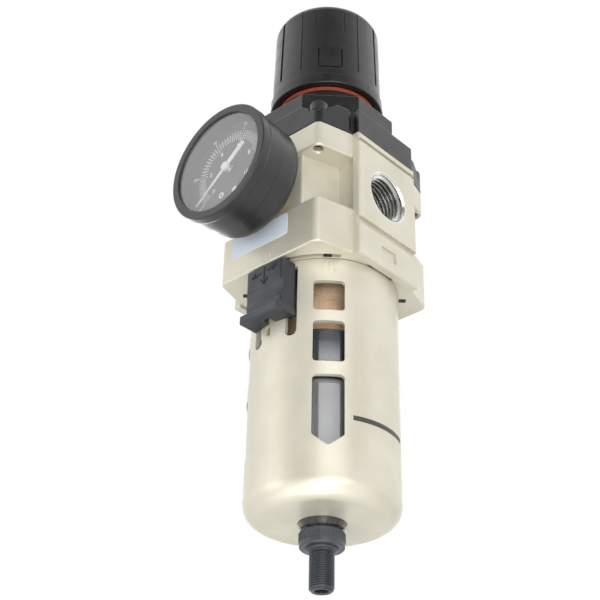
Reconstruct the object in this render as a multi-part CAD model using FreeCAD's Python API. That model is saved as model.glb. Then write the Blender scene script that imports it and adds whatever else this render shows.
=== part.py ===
import FreeCAD, Part
import os
from math import cos, degrees, radians, sin, sqrt

# An inline filter regulator for compressed air, in millimetres.
# The main axis is Z. The origin is the centre of the drain thread's lower end,
# +X is the outlet port and -Y is the front, where the pressure gauge is.
# Angles are in degrees about Z, counted from +X.

V = FreeCAD.Vector
UP = V(0, 0, 1)
ACROSS = V(0, 1, 0)
FRONT = -90
full_turn = 360.0

# Clearances
touch = 0.02            # between faces that seat on each other
sliding = 0.05          # radial, between a shaft and its hole
loose = 0.2             # radial, between parts that are put together by hand
turn_gap = 0.3          # between the turning bowl set and the body
end_gap = 1.0           # left at the end of a stroke
past = 1.0              # how far a cutting solid runs past the face it opens
bite = 1.5              # how far a passage runs into the hollow it meets
bury = 0.5              # how far a joined feature starts inside what carries it

# Threads: pipe thread of the ports, of the gauge ports and of the drain
port_thread_r = 10.48
gauge_thread_r = 6.58
drain_thread_r = 4.86

# Heights, stacked from the end of the drain thread
barrel_length = 16.4
drain_ring_h = 6.4
seal_h = 0.6
boss_drop = 2.8
guard_h = 100.3
lower_flange_h = 21.4
waist_h = 26.2
upper_flange_h = 12.2
base_h = 12.6
tier_h = 14.0
neck_show = 9.7
knob_h = 49.3
port_above_flange = 14.0
gauge_below_port = 1.6

z_ring = barrel_length
z_ring_top = z_ring + drain_ring_h
z_boss = z_ring_top + seal_h
z_guard = z_boss + boss_drop
z_guard_top = z_guard + guard_h
z_body = z_guard_top + turn_gap
z_waist = z_body + lower_flange_h
z_port = z_waist + port_above_flange
z_upper = z_waist + waist_h
z_body_top = z_upper + upper_flange_h
z_base_top = z_body_top + base_h
z_tier_top = z_base_top + tier_h
z_knob = z_tier_top + neck_show
z_knob_top = z_knob + knob_h
z_gauge = z_port - gauge_below_port

# Body casting
body_depth = 70.4
front_half = 26.7       # half width of the flat front of a flange
port_span = 70.0        # between the two port faces
frame_width = 37.2      # port frame, across
frame_thick = 3.7
frame_drop = 0.9        # how far the frame ends below the lower flange and below the top
flange_corner_r = 3.5
edge_r = 0.8
trunk_corner_r = 1.5
trunk_width = 32.4      # port trunk, across, in the waist
gauge_trunk_front = 32.4
gauge_trunk_root = 43.6
gauge_trunk_back = 2.2  # how far the gauge trunk's face is behind the flange's face
port_depth = 16.0
port_chamfer = 0.8
frame_groove_depth = 1.3
top_groove_h = 1.8
top_groove_below = 2.7  # below the frame's top
low_groove_h = 3.2
low_groove_above = 14.4
label_recess_w = 9.0
label_recess_h = 5.0
label_recess_above = 4.6
label_recess_depth = 0.8
mark_w = 0.8
mark_h = 4.0
mark_proud = 0.4
mark_pitch = 2.0

# Hollows of the body, upwards from its lower face
socket_depth = 18.4     # the socket that takes the bowl
neck_depth = 12.4       # the wider mouth of the socket, for the guard's neck
neck_r = 29.0
bayonet_reach = 2.1
bayonet_h = 3.4
bayonet_above = 5.8
lug_count = 4
lug_arc = 22.0
lug_room = 3.0          # degrees at each side of a lug where it enters
bowl_turn = 45.0
tube_r = 15.0           # threaded tube in the middle of the socket
tube_bore_r = 13.0
tube_drop = 9.0
chamber_r = 11.0
seat_r = 6.6
seat_below = 3.0        # top of the valve seat, below the port axis
seat_h = 3.0
outlet_chamber_r = 12.0
chamber_top = 12.0      # above the port axis
ceiling_h = 3.0
passage_r = 6.4
passage_rise = 4.5
inlet_duct_x = 20.0
inlet_duct_r = 5.5
gauge_port_depth = 12.0
gauge_passage_r = 1.6
gauge_passage_rise = 1.0
diaphragm_r = 24.6
diaphragm_h = 1.2
dish_r = 19.0
dish_clear = 0.4
screw_hole_chamfer = 0.7

# Bonnet and its screws
screw_x = 23.8
screw_inset = 3.6       # from the flat front of the body
screw_y = body_depth / 2 - screw_inset
screw_r = 2.0
screw_head_r = 3.8
screw_head_h = 4.0
pocket_floor = 7.0      # above the bonnet's foot
pocket_gap = 0.5
pocket_flare_from = 1.2
pocket_lip = 4.6
screw_edge_r = 0.5
screw_drive = 3.0
screw_drive_depth = 2.2
screw_grip = 9.4
ear_x = 34.2
ear_half = 18.0
ear_groove_r = 1.6
ear_groove_from = 1.2
base_corner_groove_r = 3.0
corner_groove_out = 1.2
corner_groove_from = 1.5
corner_groove_below = 1.0
tier_half = 28.9
tier_corner = 11.5
bonnet_neck_r = 22.5
bonnet_bore_r = 18.0
neck_hidden = 23.0      # how far the neck reaches up inside the knob
bonnet_roof = 4.0
neck_top_fillet = 1.5
shadow_step = 1.0
roof_hole_gap = 1.0

# Unlock ring, knob and adjusting screw
unlock_ring_h = 1.9
unlock_ring_proud = 0.25
unlock_ring_below = 0.2
unlock_ring_seat = 0.8
knob_r = 24.1
knob_foot_r = 25.1
knob_lip_r = 25.8
knob_lip_h = 5.0
knob_lip_edge = 0.6
knob_wall = 2.0
knob_top_fillet = 4.5
knob_roof = 3.0
knob_inner_bevel = 2.0
knob_band_h = 10.3
knob_sides = 3
knob_groove_w = 1.5
knob_groove_depth = 1.1
knob_line_w = 0.7
knob_line_depth = 0.35
knob_line_angle = 31.0
knob_short_angle = 15.0
knob_short_below = 4.5
knob_short_h = 14.0
latch_angle = 12.0
latch_h = 10.5
latch_cut = 0.8
latch_depth = 1.2
knob_lock_travel = 3.0
hub_r = 8.0
spindle_side = 6.8
spindle_corner_r = 4.4
screw_thread_r = 4.0
screw_pitch = 1.5
screw_turns = 6
collar_r = 7.0
collar_h = 3.0
washer_h = 1.0
washer_r = 8.0
spring_seat_r = 16.0
spring_seat_h = 4.0
spring_seat_hub_r = 7.0
spring_seat_hub_h = 7.0
seat_key_half = 1.5
seat_key_reach = 1.2     # into the groove in the bonnet's bore
spring_wire_r = 1.7
spring_mean_r = 12.4
spring_turns = 5

# Diaphragm set and valve
diaphragm_dip = 2.8
plate_r = 15.0
plate_h = 2.0
pilot_h = 1.6
hub_flange_r = 9.0
hub_flange_h = 1.4
hub_shank_r = 3.4
valve_stem_r = 2.4
valve_head_r = 8.6
valve_head_h = 2.0
valve_seal_h = 1.4
valve_stroke = 1.5
valve_spring_wire_r = 0.6
valve_spring_mean_r = 5.2
valve_spring_turns = 5
guide_flange_h = 2.0
guide_top_below = 2.0
guide_boss_r = 7.6
guide_boss_h = 13.4
guide_web = 2.0
guide_well_r = 9.7
guide_tube_wall = 1.6
guide_vents = 4
guide_vent_r = 1.2
guide_vent_at = 5.3
stud_r = 3.0
stud_web = 2.0

# Deflector, filter element and baffle
deflector_r = 23.0
deflector_sleeve = 1.4
deflector_floor = 1.6
deflector_vanes = 16
deflector_vane_w = 1.2
deflector_vane_lean = 24.0
deflector_vane_inset = 0.6
deflector_below = 3.0    # under the socket's ceiling
deflector_h = 19.4
element_r = 19.0
element_bore_r = 13.0
element_h = 23.0
baffle_r = 21.0
baffle_floor = 1.6
baffle_skirt_h = 12.3
baffle_wall = 1.4
baffle_hub_r = 8.0
baffle_hub_h = 4.0
baffle_spokes = 6
baffle_spoke_half = 0.7
baffle_spoke_h = 3.0
locator_wall = 1.8
locator_h = 1.5

# Clear bowl, guard and lock button
bowl_r = 27.0
bowl_wall = 2.4
bowl_end_gap = 1.0
bowl_corner_r = 10.0
bowl_boss_r = 9.2
bowl_ring_wire_r = 1.2
bowl_rim_chamfer = 0.8
seal_groove_depth = 1.4
seal_groove_half = 1.25
seal_above = 2.6         # above the top of the socket's wide mouth
guard_r = 30.7
guard_wall = 2.2
guard_corner_r = 7.0
guard_neck_wall = 1.5
guard_neck_gap = 1.5
guard_step_h = 1.5
guard_step_slope = 0.9
window_w = 12.4
window_tops = (10.2, 28.5, 51.9)    # below the guard's top
window_hs = (13.5, 17.8, 24.9)
window_angles = (-45.0, 45.0, 135.0, 225.0)
window_point = 4.7
window_corner_r = 1.6
guard_mark_top = 0.8
guard_mark_h = 4.8
guard_mark_step = 4.0
slot_from = 11.6
slot_to = 21.0
slot_bottom = 33.8
slot_top = 2.6
button_half = 10.2
button_deep = 5.7       # from the guard to the face
button_face = guard_r + button_deep
button_top = 1.5
button_h = 24.3
button_lip_h = 3.6
button_lip_reach = 2.6
button_lip_face = button_face + button_lip_reach
button_lip_side = 0.4
button_lip_edge_r = 1.0
dip_r = 7.0
dip_above_lip = 7.6
dip_out = 5.9
button_edge_r = 1.6
button_travel = 5.0
nose_half = 3.6
nose_out = 1.7
nose_r = guard_r + nose_out
nose_thick = 1.8
nose_groove_h = 2.6
nose_room = 1.5         # degrees at each side
nose_end_gap = 0.5
hook_lip = 0.9
hook_above = 5.0
hook_near_gap = 1.0     # degrees
hook_far_gap = 2.6
hook_reach = 3.4
tab_w = 3.0
tab_h = 1.4
tab_below = 22.0
tab_past_spring = 0.8
button_pocket_r = 1.9
lock_spring_wire_r = 0.3
lock_spring_mean_r = 1.3
lock_spring_h = 13.0
lock_spring_turns = 7
peep_w = 2.2
peep_h = 4.0
peep_x = -2.4
peep_below = 0.6

# Automatic drain
barrel_bore_r = 2.6
barrel_chamfer = 0.9
flare_r = 6.3
flare_h = 1.4
flare_edge = 0.4
thread_relief = 0.6
barrel_stem_r = 5.0
barrel_flange_r = 8.4
barrel_flange_h = 2.0
spigot_h = 5.0
spigot_r = 3.6
drain_ring_r = 8.7
drain_ring_chamfer = 0.4
drain_seal_inset = 1.6
guide_r = 7.0
guide_wall = 1.5
guide_room = 48.3       # left for the element, the baffle and the ends of the bowl
guide_h = guard_h - guide_room
guide_cap_r = 9.0
guide_cap_h = 2.0
guide_foot_h = 3.0
guide_ports = 4
guide_port_r = 1.5
guide_port_above = 5.0
float_r = 18.5
float_bore_gap = 0.4
float_room = 19.0       # left under the guide's cap for the float to move in
float_h = guide_h - float_room
float_lift = 4.0
float_wall = 1.2
float_edge_r = 1.5
float_stop = 1.6
float_stop_h = 2.0
pilot_rod_r = 1.2
pilot_disc_r = 3.4
pilot_disc_h = 1.6

# Pressure gauge, from its front towards the body
gauge_front = 65.9
bezel_r = 26.0
bezel_h = 5.1
bezel_lip = 1.0
bezel_bevel = 0.3
bezel_edge_r = 0.6
bezel_back_h = 1.2
bezel_back_in = 0.5
window_r = 22.4
glass_r = 23.5
glass_h = 1.6
case_r = 25.2
case_step = 0.4
case_step_slope = 0.5
case_step_from = 54.0
case_back = 41.0
case_back_r = 19.0
case_wall = 1.8
case_inner_bevel = 5.0
gauge_collar_r = 6.4
dial_face = 58.5
dial_h = 0.8
dial_r = 22.6
dial_hole_r = 1.0
pointer_face = 61.4
pointer_h = 0.5
pointer_hub_r = 1.9
pointer_tip = 20.4
pointer_tail = 12.6
pointer_w = 1.9
pointer_root_half = 0.55
pointer_tip_half = 0.15
pointer_hub_proud = 0.4
pointer_zero = 219.0    # where the pointer rests, from +X, seen from the front
arbor_r = 0.6
hex_flats = 14.0
hex_gap = 0.3           # between the stem's hexagon and the body
stem_bore_r = 1.5
stem_bore_in = 8.0
socket_half = 5.5
tube_bend_r = 15.5
tube_section_r = 1.5
tube_arc = 250.0
root_side = 1.2         # of the stem's foot beside, before and below the curved tube
root_front = 0.8
root_below = 1.0
root_gap = 1.0
root_deep = 3.0
movement_half = 7.0
movement_plate = 1.0
movement_gap = 4.0
pillar_r = 1.0
pillar_inset = 1.6
plug_hex_flats = 5.0
plug_hex_depth = 4.0
plug_length = 9.0
plug_below = 0.4


def box(x0, x1, y0, y1, z0, z1):
    return Part.makeBox(x1 - x0, y1 - y0, z1 - z0, V(x0, y0, z0))


def centred(half_x, half_y, z0, z1):
    return box(-half_x, half_x, -half_y, half_y, z0, z1)


def cyl(r, z0, z1, x=0.0, y=0.0):
    return Part.makeCylinder(r, z1 - z0, V(x, y, z0), UP)


def cyl_x(r, x0, x1, z, y=0.0):
    return Part.makeCylinder(r, x1 - x0, V(x0, y, z), V(1, 0, 0))


def cyl_y(r, y0, y1, z, x=0.0):
    return Part.makeCylinder(r, y1 - y0, V(x, y0, z), ACROSS)


def ring(r_out, r_in, z0, z1):
    return cyl(r_out, z0, z1).cut(cyl(r_in, z0 - past, z1 + past))


def fuse(first, *others):
    return first.multiFuse(list(others)).removeSplitter()


def cut(first, *tools):
    return first.cut(list(tools))


def turned(shape, angle, centre=V(0, 0, 0), axis=UP):
    copy = shape.copy()
    copy.rotate(centre, axis, angle)
    return copy


def moved(shape, x=0.0, y=0.0, z=0.0):
    copy = shape.copy()
    copy.translate(V(x, y, z))
    return copy


def around(shape, count, start=0.0):
    """Copies of a shape, evenly spaced about the main axis."""
    return [turned(shape, start + full_turn * i / count) for i in range(count)]


def sector(r0, r1, a0, a1, z0, z1):
    """Part of a ring between two angles."""
    outer = Part.makeCylinder(r1, z1 - z0, V(0, 0, z0), UP, a1 - a0)
    return turned(outer.cut(cyl(r0, z0 - past, z1 + past)), a0)


def prism(points, z0, z1):
    """Straight-sided block over a closed outline of (x, y) points."""
    corners = [V(x, y, z0) for x, y in points]
    outline = Part.makePolygon(corners + corners[:1])
    return Part.Face(outline).extrude(V(0, 0, z1 - z0))


def polar(r, angle):
    return (r * cos(radians(angle)), r * sin(radians(angle)))


def bend(cr, ch, r, a0, a1):
    """An arc step of a lathe outline: its middle and its end."""
    mid = (a0 + a1) / 2
    return [(cr + r * cos(radians(a)), ch + r * sin(radians(a))) for a in (mid, a1)]


def lathe(steps, axis="Z"):
    """Solid turned from an outline of (radius, height) points and arc steps."""
    def place(p):
        return V(p[0], 0, p[1]) if axis == "Z" else V(p[0], p[1], 0)
    edges = []
    last = first = steps[0]
    for step in steps[1:] + [first]:
        end = step if isinstance(step, tuple) else step[1]
        if isinstance(step, tuple):
            edges.append(Part.makeLine(place(last), place(end)))
        else:
            edges.append(Part.Arc(place(last), place(step[0]), place(end)).toShape())
        last = end
    face = Part.Face(Part.Wire(edges))
    return face.revolve(V(0, 0, 0), UP if axis == "Z" else ACROSS, 360)


def torus(mean_r, wire_r, z):
    return Part.makeTorus(mean_r, wire_r, V(0, 0, z))


def coil(mean_r, wire_r, z0, z1, turns, x=0.0, y=0.0):
    """Compression spring between two heights, its wire wholly inside them."""
    height = z1 - z0 - 2 * wire_r
    path = Part.makeHelix(height / turns, height, mean_r)
    section = Part.Wire(Part.makeCircle(wire_r, V(mean_r, 0, 0), ACROSS))
    wire = Part.Wire(path).makePipeShell([section], True, True)
    return moved(wire, x, y, z0 + wire_r)


def upright(shape):
    """Edges of a shape that run along Z."""
    def runs_up(edge):
        a, b = edge.Vertexes[0].Point, edge.Vertexes[-1].Point
        return len(edge.Vertexes) == 2 and abs(a.x - b.x) < touch and abs(a.y - b.y) < touch
    return [edge for edge in shape.Edges if runs_up(edge)]


def edges_at(shape, z):
    """Edges of a shape that lie in one level plane."""
    return [e for e in shape.Edges if max(abs(e.BoundBox.ZMin - z), abs(e.BoundBox.ZMax - z)) < touch]


def outer_rims(shape, r):
    """Level edges of a round shape that lie at one radius."""
    return [e for e in shape.Edges if e.BoundBox.XMax > r - touch and e.BoundBox.ZLength < touch]


def flange_corners(shape):
    return [e for e in upright(shape) if abs(e.BoundBox.Center.y) > frame_width / 2 + touch]


def hexagon(flats, z0, z1):
    return prism([polar(flats / sqrt(3), 60 * i + 30) for i in range(6)], z0, z1)


def along_y(shape):
    """Turns a shape made about +Z so that it points to the front, at the gauge's height."""
    laid = turned(shape, 90, V(0, 0, 0), V(1, 0, 0))
    return moved(laid, z=z_gauge)


def flange_outline(grow=0.0):
    side = port_span / 2 - frame_thick + grow
    corner = front_half + grow
    deep = body_depth / 2 + grow
    half = frame_width / 2
    quarter = [(side, -half), (side, half), (corner, deep), (-corner, deep)]
    return quarter + [(-x, -y) for x, y in quarter]


def flange(z0, z1):
    block = prism(flange_outline(), z0, z1)
    block = block.makeFillet(flange_corner_r, flange_corners(block))
    return block.makeFillet(edge_r, edges_at(block, z0) + edges_at(block, z1))


def waist():
    low = z_waist - past
    high = z_upper + past
    port_trunk = centred(port_span / 2 - frame_thick / 2, trunk_width / 2, low, high)
    face = trunk_face()
    front = gauge_trunk_front / 2
    root = gauge_trunk_root / 2
    outline = [(root, -trunk_width / 2), (root, trunk_width / 2), (front, face), (-front, face)]
    gauge_trunk = prism(outline + [(-x, -y) for x, y in outline], low, high)
    corners = [e for e in upright(gauge_trunk) if abs(e.BoundBox.Center.y) > face - touch]
    return fuse(port_trunk, gauge_trunk.makeFillet(trunk_corner_r, corners))


def port_frame():
    """The flat square frame round a port, with the two grooves that a clamp grips."""
    face = port_span / 2
    half = frame_width / 2
    low = z_body - frame_drop
    top = z_body_top - frame_drop / 2
    plate = box(face - frame_thick, face, -half, half, low, top)
    rim = [e for e in plate.Edges if e.BoundBox.XMin > face - touch]
    plate = plate.makeFillet(edge_r, rim)
    across = half + past
    high_groove = top - top_groove_below - top_groove_h
    low_groove = low + low_groove_above
    recess_half = label_recess_w / 2
    recess = low + label_recess_above
    recess_top = recess + label_recess_h
    return cut(
        plate,
        box(face - frame_groove_depth, face + past, -across, across, high_groove, high_groove + top_groove_h),
        box(face - frame_groove_depth, face + past, -across, across, low_groove, low_groove + low_groove_h),
        box(face - label_recess_depth, face + past, -recess_half, recess_half, recess, recess_top),
    )


def body_hollows():
    """Everything that is bored or cored out of the casting."""
    hollows = centre_hollows() + mouth_hollows()
    for side in (0, 180):
        hollows += [turned(tool, side) for tool in port_hollows() + gauge_port_hollows()]
    for x in (-screw_x, screw_x):
        for y in (-screw_y, screw_y):
            hollows.append(cyl(screw_r + sliding, z_upper - past, z_body_top + past, x, y))
            wide = screw_r + screw_hole_chamfer
            hollows.append(Part.makeCone(wide, screw_r, screw_hole_chamfer, V(x, y, z_upper), UP))
    return hollows


def centre_hollows():
    """Socket, valve chamber, outlet chamber and diaphragm dish, from the bottom up."""
    socket_top = z_body + socket_depth
    tube_end = socket_top - tube_drop
    seat_top = z_port - seat_below
    roof = z_port + chamber_top
    dish = z_body_top - diaphragm_h
    socket = fuse(
        cyl(neck_r + loose, z_body - past, z_body + neck_depth),
        cyl(bowl_r + loose, z_body, socket_top),
    )
    return [
        socket.cut(cyl(tube_r, tube_end, socket_top + past)),
        cyl(tube_bore_r, tube_end - past, socket_top + past),
        cyl(chamber_r, socket_top, seat_top - seat_h),
        cyl(seat_r, seat_top - seat_h - past, seat_top + past),
        cyl(outlet_chamber_r, seat_top, roof),
        cyl(valve_stem_r + sliding, roof - past, roof + ceiling_h + past),
        cyl(dish_r, roof + ceiling_h, z_body_top + past),
        cyl(diaphragm_r + loose, dish, z_body_top + past),
        cyl(inlet_duct_r, socket_top - past, z_port, -inlet_duct_x),
    ]


def mouth_hollows():
    """The socket's bayonet track, its four entries and the groove of the button's nose."""
    low = z_body + bayonet_above - turn_gap
    track_r = neck_r + bayonet_reach + turn_gap
    half = lug_arc / 2 + lug_room
    swing = nose_angle() + nose_room
    tools = [ring(track_r, neck_r, low, low + bayonet_h + 2 * turn_gap)]
    tools.append(sector(nose_r - nose_thick / 2 - turn_gap, nose_r + nose_thick / 2 + turn_gap,
                        FRONT - swing, FRONT + bowl_turn + swing, z_body - past, z_body + nose_groove_h))
    for i in range(lug_count):
        at = lug_angle(i) + bowl_turn
        tools.append(sector(neck_r, track_r, at - half, at + half, z_body - past, low + past))
    return tools


def lug_angle(i):
    return FRONT + full_turn * (i + 1 / 2) / lug_count


def port_hollows():
    face = port_span / 2
    flare = port_chamfer + past
    mouth = V(face - port_chamfer, 0, z_port)
    return [
        cyl_x(port_thread_r, face - port_depth, face + past, z_port),
        cyl_x(passage_r, outlet_chamber_r - bite, face - port_depth + past, z_port + passage_rise),
        Part.makeCone(port_thread_r, port_thread_r + flare, flare, mouth, V(1, 0, 0)),
    ]


def gauge_port_hollows():
    face = trunk_face()
    deep = -face + gauge_port_depth
    return [
        cyl_y(gauge_thread_r, -face - past, deep, z_gauge),
        cyl_y(gauge_passage_r, deep - past, -outlet_chamber_r + bite, z_port + gauge_passage_rise),
    ]


def trunk_face():
    return body_depth / 2 - gauge_trunk_back


def nose_angle():
    """Half of the angle that the button's nose takes up."""
    return degrees(nose_half / nose_r)


def body():
    shape = fuse(
        flange(z_body, z_waist),
        flange(z_upper, z_body_top),
        waist(),
        port_frame(),
        turned(port_frame(), 180),
    )
    deep = body_depth / 2
    low = z_body + edge_r
    half = mark_w / 2
    marks = [box(x - half, x + half, -deep - mark_proud, -deep + bury, low, low + mark_h)
             for x in (-mark_pitch / 2, mark_pitch / 2)]
    return cut(fuse(shape, *marks), *body_hollows())


def bonnet_base():
    """Square foot with ears over the port frames and an open pocket at each corner."""
    foot = prism(flange_outline(), z_body_top, z_base_top)
    foot = foot.makeFillet(flange_corner_r, flange_corners(foot))
    foot = fuse(foot, centred(ear_x, ear_half, z_body_top, z_base_top))
    foot = foot.makeFillet(edge_r, edges_at(foot, z_base_top))
    tools = []
    for sx in (-1, 1):
        for sy in (-1, 1):
            tools += corner_pocket(sx, sy)
    return cut(foot, *tools)


def corner_pocket(sx, sy):
    """The pocket of one screw, the groove below it and the groove beside the ear."""
    x, y = sx * screw_x, sy * screw_y
    floor = z_body_top + pocket_floor
    flare_low = floor + pocket_flare_from
    flare_h = z_base_top - flare_low + loose
    corner_x = sx * (front_half + corner_groove_out)
    corner_y = sy * (body_depth / 2 + corner_groove_out)
    ear_groove_x = sx * (port_span / 2 - frame_thick)
    ear_groove_y = sy * frame_width / 2
    groove_low = z_body_top + corner_groove_from
    groove_top = floor - corner_groove_below
    return [
        cyl(screw_head_r + pocket_gap, floor, z_base_top + past, x, y),
        Part.makeCone(screw_head_r + loose, screw_head_r + pocket_lip, flare_h, V(x, y, flare_low), UP),
        cyl(screw_r + loose, z_body_top - past, floor + past, x, y),
        cyl(base_corner_groove_r, groove_low, groove_top, corner_x, corner_y),
        cyl(ear_groove_r, z_body_top + ear_groove_from, z_base_top + past, ear_groove_x, ear_groove_y),
    ]


def bonnet():
    half, corner = tier_half, tier_corner
    quarter = [(half, -corner), (half, corner), (corner, half), (-corner, half)]
    outline = quarter + [(-x, -y) for x, y in quarter]
    tier = prism(outline, z_base_top + shadow_step, z_tier_top)
    tier = tier.makeFillet(edge_r, edges_at(tier, z_tier_top))
    inset = 1 - shadow_step / half
    smaller = [(x * inset, y * inset) for x, y in outline]
    step = prism(smaller, z_base_top - past, z_base_top + shadow_step + past)
    neck_top = z_knob + neck_hidden
    neck = cyl(bonnet_neck_r, z_tier_top - past, neck_top)
    neck = neck.makeFillet(neck_top_fillet, edges_at(neck, neck_top))
    ring_top = z_knob - unlock_ring_below
    roof = neck_top - bonnet_roof
    key_half = seat_key_half + loose
    key_groove_r = bonnet_bore_r + seat_key_reach + loose
    return cut(
        fuse(bonnet_base(), step, tier, neck),
        cyl(bonnet_bore_r, z_body_top - past, roof),
        box(0, key_groove_r, -key_half, key_half, z_tier_top, roof),
        cyl(screw_thread_r + roof_hole_gap, roof - past, neck_top + past),
        ring(bonnet_neck_r + past, bonnet_neck_r - unlock_ring_seat, ring_top - unlock_ring_h, ring_top),
    )


def unlock_ring():
    top = z_knob - unlock_ring_below - touch
    low = top - unlock_ring_h + 2 * touch
    return ring(bonnet_neck_r + unlock_ring_proud, bonnet_neck_r - unlock_ring_seat + touch, low, top)


def bonnet_screws():
    floor = z_body_top + pocket_floor
    top = floor + screw_head_h
    shank = cyl(screw_r, floor - pocket_floor - screw_grip, floor + bury)
    head = cyl(screw_head_r, floor + touch, top)
    head = head.makeFillet(screw_edge_r, edges_at(head, top))
    screw = fuse(shank, head).cut(hexagon(screw_drive, top - screw_drive_depth, top + past))
    return Part.makeCompound([moved(screw, x, y) for x in (-screw_x, screw_x) for y in (-screw_y, screw_y)])


def knob():
    inner_top = z_knob_top - knob_roof
    hub_low = z_knob + neck_hidden + knob_lock_travel + end_gap
    hub = cyl(hub_r, hub_low, inner_top + bury)
    side = spindle_side / 2 + sliding
    tools = [centred(side, side, hub_low - past, inner_top)]
    for i in range(knob_sides):
        tools += knob_side_cuts(FRONT / 2 + full_turn * i / knob_sides)
    return cut(fuse(knob_shell(), hub), *tools)


def knob_shell():
    wall_r = knob_lip_r - knob_wall
    inner_top = z_knob_top - knob_roof
    crown_r = knob_r - knob_wall - knob_lip_edge
    return lathe([
        (wall_r - knob_lip_edge, z_knob),
        (knob_lip_r - knob_lip_edge, z_knob),
        bend(knob_lip_r - knob_lip_edge, z_knob + knob_lip_edge, knob_lip_edge, -90, 0),
        (knob_lip_r, z_knob + knob_lip_h),
        (knob_foot_r, z_knob + knob_lip_h + knob_lip_edge),
        (knob_r, z_knob_top - knob_top_fillet),
        bend(knob_r - knob_top_fillet, z_knob_top - knob_top_fillet, knob_top_fillet, 0, 90),
        (0, z_knob_top),
        (0, inner_top),
        (crown_r - knob_inner_bevel, inner_top),
        (crown_r, inner_top - knob_inner_bevel),
        (wall_r - knob_lip_edge, z_knob + neck_hidden + knob_lock_travel),
    ])


def knob_side_cuts(centre):
    """One side of the knob: deep groove at its edge, fine lines and the latch's outline."""
    low = z_knob + knob_band_h
    short = z_knob_top - knob_short_below
    edge = centre + 180.0 / knob_sides
    cuts = [knob_slit(edge, knob_groove_w, knob_groove_depth, low, z_knob_top + past)]
    for way in (-1, 1):
        line = centre + way * knob_line_angle
        cuts.append(knob_slit(line, knob_line_w, knob_line_depth, low, z_knob_top + past))
        line = centre + way * knob_short_angle
        cuts.append(knob_slit(line, knob_line_w, knob_line_depth, short - knob_short_h, short))
        cuts.append(knob_slit(centre + way * latch_angle, latch_cut, latch_depth, low, low + latch_h))
    a0, a1 = centre - latch_angle, centre + latch_angle
    cuts.append(sector(knob_foot_r - latch_depth, knob_lip_r + past, a0, a1, low - latch_cut, low))
    return cuts


def knob_slit(angle, width, depth, z0, z1):
    """Upright slit in the knob's tapering side, of one depth all the way up."""
    lean = (knob_foot_r - knob_r) / (knob_h - knob_lip_h)
    r0 = knob_foot_r - depth - lean * (z0 - z_knob - knob_lip_h)
    r1 = knob_foot_r - depth - lean * (z1 - z_knob - knob_lip_h)
    out = knob_lip_r + past
    side = Part.makePolygon([V(r0, 0, z0), V(out, 0, z0), V(out, 0, z1), V(r1, 0, z1), V(r0, 0, z0)])
    slab = Part.Face(side).extrude(V(0, width, 0))
    return turned(moved(slab, y=-width / 2), angle)


def adjusting_screw():
    neck_top = z_knob + neck_hidden
    collar_top = neck_top - bonnet_roof - washer_h - touch
    low = z_seat_top() - spring_seat_hub_h - screw_pitch * screw_turns - end_gap
    threaded = cyl(screw_thread_r, low, collar_top - collar_h + bury)
    collar = cyl(collar_r, collar_top - collar_h, collar_top)
    journal = cyl(screw_thread_r, collar_top - bury, neck_top + bury)
    half = spindle_side / 2
    spindle = centred(half, half, neck_top, z_knob_top - knob_roof - knob_lock_travel - end_gap)
    return fuse(threaded, collar, journal, spindle.common(cyl(spindle_corner_r, z_knob, z_knob_top)))


def thrust_washer():
    roof = z_knob + neck_hidden - bonnet_roof
    return ring(washer_r, screw_thread_r + sliding, roof - washer_h, roof - touch)


def z_plate_top():
    """Where the adjusting spring stands on the diaphragm's plate."""
    return z_body_top - diaphragm_dip + plate_h


def z_seat_top():
    """Top of the spring seat when the knob is fully backed off."""
    return z_knob + neck_hidden - bonnet_roof - washer_h - collar_h - end_gap


def spring_seat():
    """Nut that the screw drives down: a key in the bonnet's groove keeps it from turning."""
    top = z_seat_top()
    low = top - spring_seat_h
    plate = cyl(spring_seat_r, low, top)
    hub = cyl(spring_seat_hub_r, top - spring_seat_hub_h, top)
    key = box(0, bonnet_bore_r + seat_key_reach, -seat_key_half, seat_key_half, low, top)
    hole = cyl(screw_thread_r + sliding, top - spring_seat_hub_h - past, top + past)
    return cut(fuse(plate, hub, key), hole)


def adjusting_spring():
    low = z_plate_top() + touch
    high = z_seat_top() - spring_seat_h - touch
    return coil(spring_mean_r, spring_wire_r, low, high, spring_turns)


def diaphragm():
    """Rubber disc: its rim is clamped, its middle hangs a little lower."""
    top = z_body_top - touch
    under = z_body_top - diaphragm_h + touch
    mid = z_body_top - diaphragm_dip
    knee = dish_r - dish_clear
    return lathe([
        (hub_shank_r + touch, mid),
        (plate_r, mid),
        (knee, top),
        (diaphragm_r, top),
        (diaphragm_r, under),
        (knee, under),
        (plate_r + dish_clear, mid - diaphragm_h),
        (hub_shank_r + touch, mid - diaphragm_h),
    ])


def diaphragm_plate():
    low = z_body_top - diaphragm_dip + touch
    top = z_plate_top()
    plate = cyl(plate_r, low, top)
    pilot = cyl(spring_mean_r - spring_wire_r - loose, top - bury, top + pilot_h)
    return cut(fuse(plate, pilot), cyl(hub_shank_r + touch, low - past, top + pilot_h + past))


def diaphragm_hub():
    """Shank with a flange below the diaphragm, ending on the valve stem's tip."""
    under = z_body_top - diaphragm_dip - diaphragm_h - touch
    flange_part = cyl(hub_flange_r, under - hub_flange_h, under)
    shank = cyl(hub_shank_r, z_stem_top() + touch, z_plate_top() + pilot_h)
    return fuse(flange_part, shank)


def z_stem_top():
    return z_port + chamber_top + ceiling_h + valve_stroke + turn_gap


def z_seat_face():
    """Lower face of the valve seat, which the valve's seal closes."""
    return z_port - seat_below - seat_h


def valve_stem():
    seal_low = z_seat_face() - valve_seal_h - touch
    head = cyl(valve_head_r, seal_low - valve_head_h, seal_low)
    stem = cyl(valve_stem_r, z_guide_floor() + guide_web + valve_stroke + end_gap, z_stem_top())
    return fuse(head, stem)


def valve_seal():
    top = z_seat_face() - touch
    return ring(valve_head_r, valve_stem_r + touch, top - valve_seal_h + touch, top)


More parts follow.
